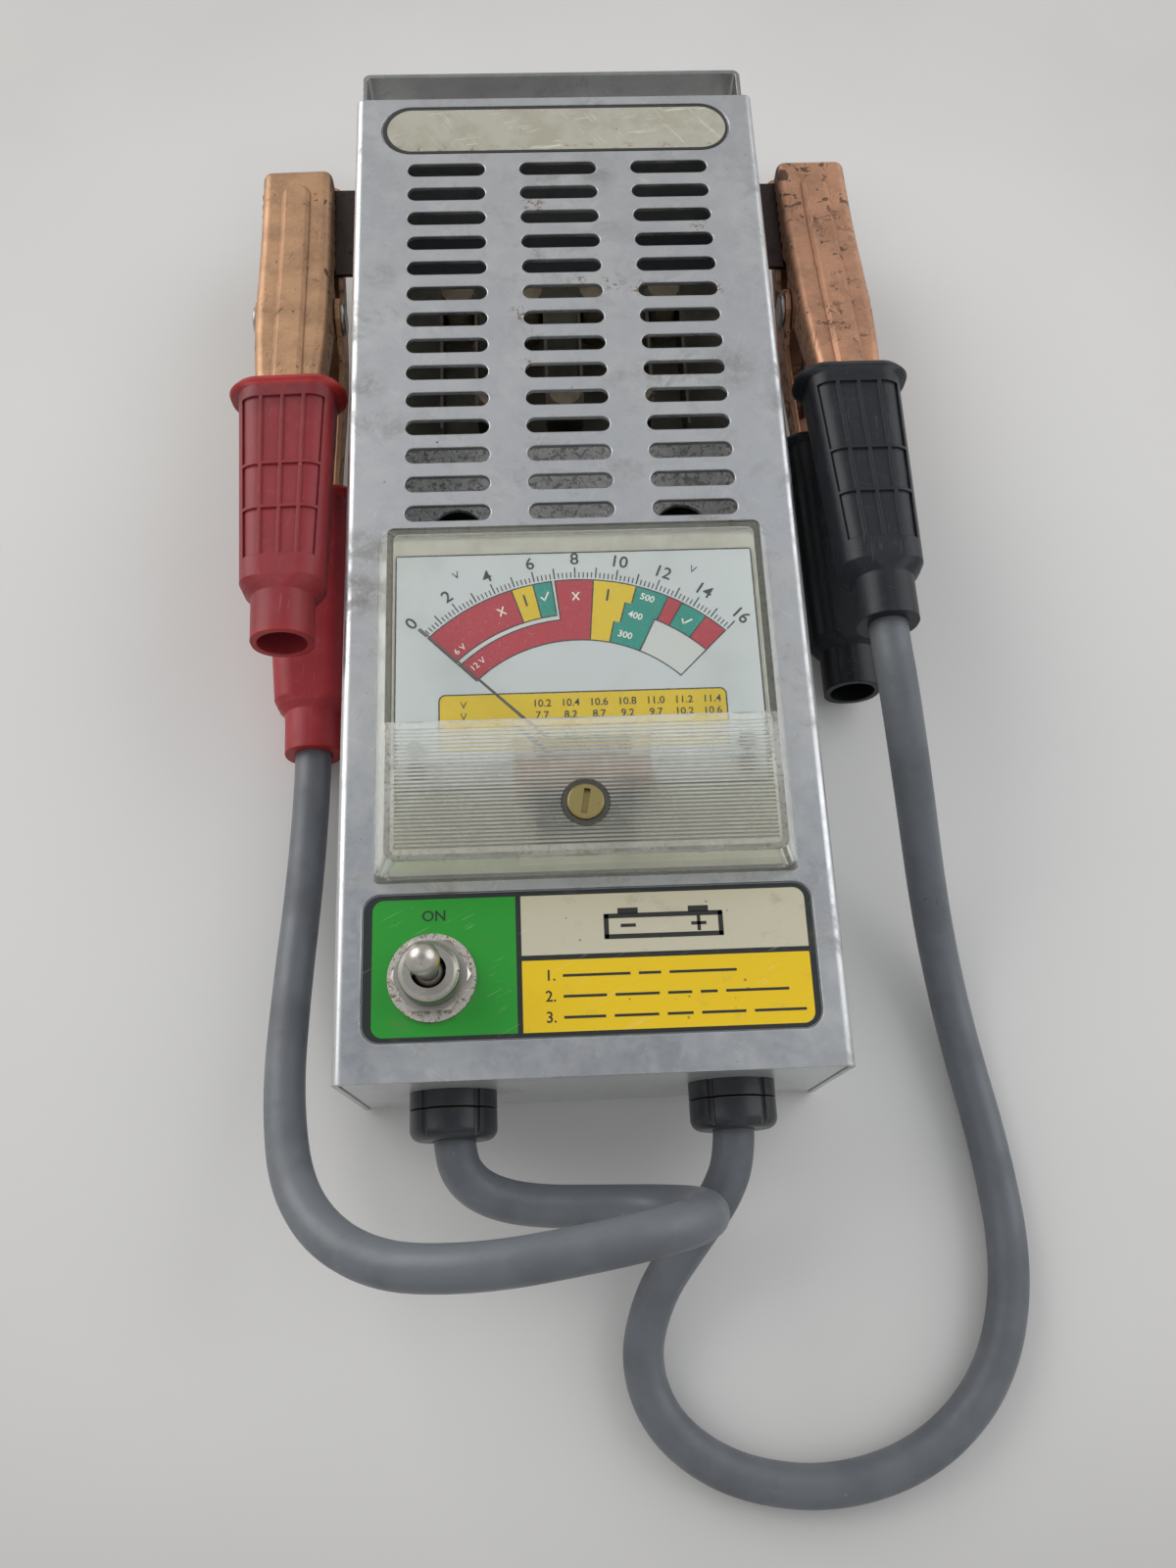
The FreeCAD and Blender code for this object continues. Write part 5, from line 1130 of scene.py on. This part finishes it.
@dataclass
class ToggleSwitch(Assembly):
    """The toggle switch in the label."""

    x: float = -32.7
    y: float = 20.9
    thread_r: float = 6.0
    thread_z: Pair = (53.7, 57.6)
    pitch: float = 0.75
    ridge_r: float = 0.28
    steps: int = 40
    nickel: Steel = Steel("worn_nickel", paint(196, 192, 184), 0.31, paint(120, 106, 92), 0.3, 0.8)
    coats: Coats = (
        (Steel("pitted_nickel", paint(236, 230, 220), 0.3, paint(84, 58, 44), 0.5, rust=0.9),
         "switch_washer"),
        (Moulding("switch_moulding", paint(40, 36, 34), paint(52, 46, 42), paint(98, 90, 80), 0.5),
         "switch_body"),
        (Steel("terminal_brass", paint(190, 162, 96), 0.36, paint(100, 80, 46), 0.3), "switch_terminals"),
    )

    def build(self) -> None:
        """Dress the switch's nodes and cut its thread."""
        nickel = dress(self.nickel, "switch_bushing", "switch_nut", "switch_lever")
        self.dress()
        bpy.ops.mesh.primitive_circle_add(vertices=3, radius=self.ridge_r * MM, fill_type="NOTHING",
                                          location=(0, 0, 0), rotation=(math.pi / 2, 0, 0))
        ridge = bpy.context.object
        bpy.ops.object.transform_apply(location=False, rotation=True, scale=False)
        ridge.data.transform(Matrix.Translation((self.thread_r * MM, 0, self.thread_z[0] * MM)))
        turn = ridge.modifiers.new("thread", "SCREW")
        turn.screw_offset = self.pitch * MM
        turn.iterations = int((self.thread_z[1] - self.thread_z[0]) / self.pitch)
        turn.steps = self.steps
        turn.render_steps = self.steps
        bpy.ops.object.modifier_apply(modifier=turn.name)
        bpy.ops.object.mode_set(mode="EDIT")
        bpy.ops.mesh.select_all(action="SELECT")
        bpy.ops.mesh.remove_doubles(threshold=WELD)
        bpy.ops.mesh.select_all(action="DESELECT")
        bpy.ops.mesh.select_non_manifold()
        bpy.ops.mesh.edge_face_add()
        bpy.ops.mesh.select_all(action="SELECT")
        bpy.ops.mesh.normals_make_consistent(inside=False)
        bpy.ops.object.mode_set(mode="OBJECT")
        ridge.location = spot(self.x, self.y)
        settle(ridge, "switch_thread", "tester", nickel)


@dataclass
class LoadBank(Assembly):
    """The load ribbon and wiring seen through the slots."""

    coats: Coats = (
        (Steel("ribbon_metal", paint(118, 112, 104), 0.42, paint(66, 58, 52), 0.5, 2.0), "load_ribbon"),
        (Moulding("post_ceramic", paint(150, 138, 116), paint(126, 112, 90), paint(84, 70, 54), 0.6),
         "load_posts"),
        (Moulding("load_board", paint(124, 121, 107), paint(106, 103, 90), paint(132, 124, 106), 0.6),
         "load_board"),
        (Steel("spacer_steel", paint(160, 158, 152), 0.36, paint(96, 80, 62), 0.3), "board_spacers"),
        (Galvanised("spangled_zinc"), "heat_shield"),
        (Moulding("lead_sheath", paint(44, 44, 46), paint(54, 54, 56), paint(96, 90, 82), 0.5),
         "inner_leads"),
    )


@dataclass
class CableEnd:
    """One pole's gland, cable and clamp."""

    pole: str
    moving_body: str
    moving_side: int
    length: float
    points: tuple[Triple, ...]
    boot: Vinyl
    # The lower boot's vinyl: a copy with its colour changed for how light falls on it, painted light.
    boot_far: Vinyl
    copper: Copper
    sheath: CableSheath
    diameter: float = 9.0
    coil_r: float = 4.0
    crease: float = 40.0
    order: int = 3
    steps: int = 10
    ring_steps: int = 8
    nylon: Moulding = Moulding("gland_nylon", paint(38, 41, 46), paint(47, 50, 54),
                               paint(104, 90, 72), 0.36, 0.6)
    rivet: Steel = Steel("rivet_steel", paint(170, 166, 160), 0.34, paint(98, 80, 64), 0.35)
    spring: Steel = Steel("spring_wire", paint(120, 114, 108), 0.4, paint(86, 62, 46), 0.5)

    def build(self) -> None:
        """Dress the solids and lay the cable."""
        dress(self.nylon, *self.names("gland_body", "gland_nut"))
        dress(self.copper, *self.names("upper_jaw", "lower_jaw"))
        dress(self.boot, *self.names("upper_boot"))
        dress(self.boot_far, *self.names("lower_boot"))
        dress(self.rivet, *self.names("rivet"))
        self.lay_cable(self.wind_spring())

    def names(self, *pieces: str) -> list[str]:
        """Give the names of this pole's nodes."""
        return [f"{self.pole}_{piece}" for piece in pieces]

    def middle(self, piece: str) -> Vector:
        """Give the middle of one of the clamp's solids."""
        low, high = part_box(f"{self.pole}_{piece}")
        return (Vector(low) + Vector(high)) / 2

    def wind_spring(self) -> Piece:
        """Make the torsion spring with one leg on each half of the clamp.

        Returns:
            The spring.
        """
        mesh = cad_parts[f"{self.pole}_spring"].data.copy()
        spring = bpy.data.objects.new(f"{self.pole}_spring_wire", mesh)
        bpy.context.scene.collection.objects.link(spring)
        mesh.materials.clear()
        mesh.materials.append(self.spring.material())
        pick(spring)
        bpy.ops.object.mode_set(mode="EDIT")
        bpy.ops.mesh.select_all(action="SELECT")
        bpy.ops.mesh.remove_doubles(threshold=WELD)
        bpy.ops.object.mode_set(mode="OBJECT")
        bpy.ops.object.shade_smooth_by_angle(angle=math.radians(self.crease))
        across = self.middle("upper_boot") - self.middle("lower_boot")
        across.y = 0.0
        across = across.normalized() * self.coil_r * MM * self.moving_side
        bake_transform(spring)
        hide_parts(f"{self.pole}_spring")
        LOG.info("wound %s", spring.name)
        return spring

    def lay_cable(self, spring: Piece) -> None:
        """Lay the cable as one smooth line through its route's points.

        Args:
            spring: The clamp's spring. It is not used.
        """
        line = bpy.data.curves.new(f"{self.pole}_cable_line", "CURVE")
        line.dimensions = "3D"
        path = line.splines.new("NURBS")
        path.points.add(len(self.points) - 1)
        for knot, (x, y, z) in zip(path.points, self.points):
            knot.co = (x * MM, y * MM, z * MM, 1.0)
        path.order_u = self.order
        path.use_endpoint_u = True
        path.resolution_u = self.steps
        line.bevel_depth = self.diameter / 2 * MM
        line.bevel_resolution = self.ring_steps
        line.use_fill_caps = True
        cable = bpy.data.objects.new(f"{self.pole}_cable_sheath", line)
        bpy.context.scene.collection.objects.link(cable)
        line.materials.append(self.sheath.material())
        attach(cable, "tester")
        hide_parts(f"{self.pole}_cable")
        LOG.info("laid %s", cable.name)


RED_POINTS = (
    (-30.2, -132.7, 27.0), (-30.2, -141.6, 27.0), (-27.4, -147.4, 26.4), (-21.4, -151.0, 25.0),
    (-12.0, -152.8, 22.6), (3.0, -153.2, 20.2), (15.4, -153.8, 24.4), (21.6, -155.0, 35.0),
    (21.4, -156.6, 47.4), (13.4, -158.8, 57.2), (-1.2, -161.4, 61.2), (-24.0, -164.4, 60.4),
    (-45.5, -163.0, 53.6), (-61.0, -151.0, 41.6), (-67.4, -129.0, 26.0), (-68.8, -101.16, 12.4),
    (-67.6, -75.06, 7.6), (-66.25, -46.45, 8.17), (-66.69, -31.35, 8.17),
)
BLACK_POINTS = (
    (30.2, -132.7, 27.0), (30.2, -142.6, 27.0), (27.4, -151.4, 23.4), (20.0, -161.0, 15.4),
    (12.0, -172.0, 8.2), (8.2, -186.0, 5.0), (13.4, -199.6, 4.6), (28.0, -209.4, 4.6),
    (49.5, -212.4, 4.6), (71.0, -206.4, 4.6), (87.0, -191.5, 4.6), (93.8, -170.0, 4.6),
    (92.4, -144.0, 4.6), (88.2, -119.04, 5.2), (85.0, -99.12, 9.0), (81.6, -83.18, 18.0),
    (78.0, -69.24, 30.0), (74.6, -55.3, 41.0), (72.6, -41.35, 46.6), (71.77, -33.9, 47.86),
    (71.68, -18.8, 47.86),
)


@dataclass
class Studio:
    """Floor, soft light and the photograph's camera."""

    eye: Triple = (-0.0078608, -0.1605431, 0.3121892)
    turn: Triple = (19.720715, -1.116574, -2.310899)
    lens: float = 29.47
    sensor: float = 36.0
    near_clip: float = 0.01
    table_side: float = 6.0
    table_z: float = -0.0003
    # Middle and reach in millimetres of a painted pool of light on the table.
    glow: Triple = (0.0, 110.0, 290.0)
    # Where the table darkens towards its near edge, in millimetres: painted shade.
    shade_y: Pair = (-50.0, -160.0)
    room_light: float = 0.8
    sky: tuple[tuple[float, Triple], ...] = (
        (0.4, (0.72, 0.72, 0.71)), (0.7, (0.575, 0.575, 0.575)), (0.82, (0.9, 0.91, 0.94)),
        (0.93, (0.44, 0.46, 0.49)), (1.0, (0.4, 0.42, 0.45)),
    )

    def build(self) -> None:
        """Set the stage."""
        bpy.context.scene.view_settings.view_transform = "Standard"
        self.camera()
        self.floor()
        self.world()
        self.lamp("soft_left", (-1.9, 1.35, 1.35), 2.5, 40.0, (1.0, 0.985, 0.96))
        self.lamp("soft_right", (1.35, 0.5, 0.95), 1.8, 11.0, (0.97, 0.985, 1.0))

    def camera(self) -> None:
        """Put the camera where the photograph was taken."""
        lens = bpy.data.cameras.new("photo_camera")
        lens.lens = self.lens
        lens.sensor_width = self.sensor
        lens.clip_start = self.near_clip
        eye = bpy.data.objects.new("photo_camera", lens)
        eye.location = self.eye
        eye.rotation_euler = tuple(math.radians(angle) for angle in self.turn)
        bpy.context.scene.collection.objects.link(eye)
        bpy.context.scene.camera = eye

    def floor(self) -> None:
        """Lay the pale table top, with a painted pool of light round the tester and painted shade towards its
        near edge.
        """
        bpy.ops.mesh.primitive_plane_add(size=self.table_side, location=(0, 0, self.table_z))
        table = bpy.context.object
        table.name = "table_top"
        sheet = Sheet("table_paint")
        cloud = sheet.noise(60.0, 4.0, 0.5)
        tint = sheet.layers(
            paint(205, 203, 200), (cloud.ramp(0.3, 0.7), paint(201, 199, 197)),
            # Painted light: a lighter pool round the tester.
            (sheet.near(*self.glow), paint(226, 225, 223)),
            # Painted shade: darker towards the table's near edge.
            (sheet.y.ramp(*self.shade_y), paint(187, 186, 184)))
        table.data.materials.append(sheet.finish(tint, 0.55 + 0.1 * cloud))

    def world(self) -> None:
        """Light the room softly, with a pale band high up."""
        room = bpy.data.worlds.new("soft_room")
        bpy.context.scene.world = room
        room.use_nodes = True
        tree = Tree(room.node_tree)
        place = tree.node("TexCoord", {}, {}, "Generated")
        height = tree.node("SeparateXYZ", {}, {0: place}, 2)
        shade = tree.node("ValToRGB", {"stops": self.sky}, {0: height})
        back = room.node_tree.nodes["Background"]
        room.node_tree.links.new(shade.socket, back.inputs["Color"])
        back.inputs["Strength"].default_value = self.room_light

    def lamp(self, name: str, place: Triple, size: float, power: float, colour: Triple) -> None:
        """Hang a soft box that faces the object.

        Args:
            name: Its name.
            place: Where it hangs.
            size: Its side in metres.
            power: Its power in watts.
            colour: Its colour.
        """
        data = bpy.data.lights.new(name, "AREA")
        data.shape = "DISK"
        data.size = size
        data.energy = power
        data.color = colour
        box = bpy.data.objects.new(name, data)
        box.location = place
        box.rotation_euler = (-Vector(place)).to_track_quat("-Z", "Y").to_euler()
        bpy.context.scene.collection.objects.link(box)


def cable_ends() -> list[CableEnd]:
    """Describe the two poles.

    Returns:
        The red and the black end.
    """
    red = paint(141, 43, 50)
    bright = paint(164, 36, 36)
    pale = paint(160, 98, 96)
    black = paint(23, 27, 34)
    grey = paint(76, 80, 86)
    return [
        CableEnd("red", "red_upper_half", 1, 307.5, RED_POINTS,
                 Vinyl("red_vinyl", red, bright, pale, 170.0, 99.0),
                 # Painted light: the lower red boot is a lighter red than the upper one.
                 Vinyl("red_vinyl_low_painted_light", paint(163, 48, 55), bright, pale, 158.0, 87.0),
                 Copper("red_copper", paint(195, 153, 118), 0.2),
                 CableSheath("red_cable_sheath", paint(106, 110, 116))),
        CableEnd("black", "black_lower_half", -1, 347.0, BLACK_POINTS,
                 Vinyl("black_vinyl", black, paint(28, 31, 36), grey, 170.6, 99.6, 0.4, 0.3),
                 # Painted shade: the lower black boot is a darker black than the upper one.
                 Vinyl("black_vinyl_low_painted_shade", paint(17, 19, 23), paint(20, 22, 26), grey,
                       170.6, 99.6, 0.42, 0.25),
                 Copper("black_copper", paint(200, 150, 120), 0.8),
                 CableSheath("black_cable_sheath", paint(101, 105, 111))),
    ]


def main() -> None:
    """Dress the tester and set the stage."""
    logging.basicConfig(level=logging.INFO, format="%(name)s: %(message)s")
    Studio().build()
    for end in cable_ends():
        end.build()
    locknut = Moulding("locknut_nylon", paint(46, 47, 49), paint(56, 57, 58), paint(112, 98, 80))
    dress(locknut, "gland_locknuts")
    CaseShell().dress()
    FrontLabel().build()
    Meter().build()
    ToggleSwitch().build()
    LoadBank().dress()


if __name__ == "__main__":
    main()
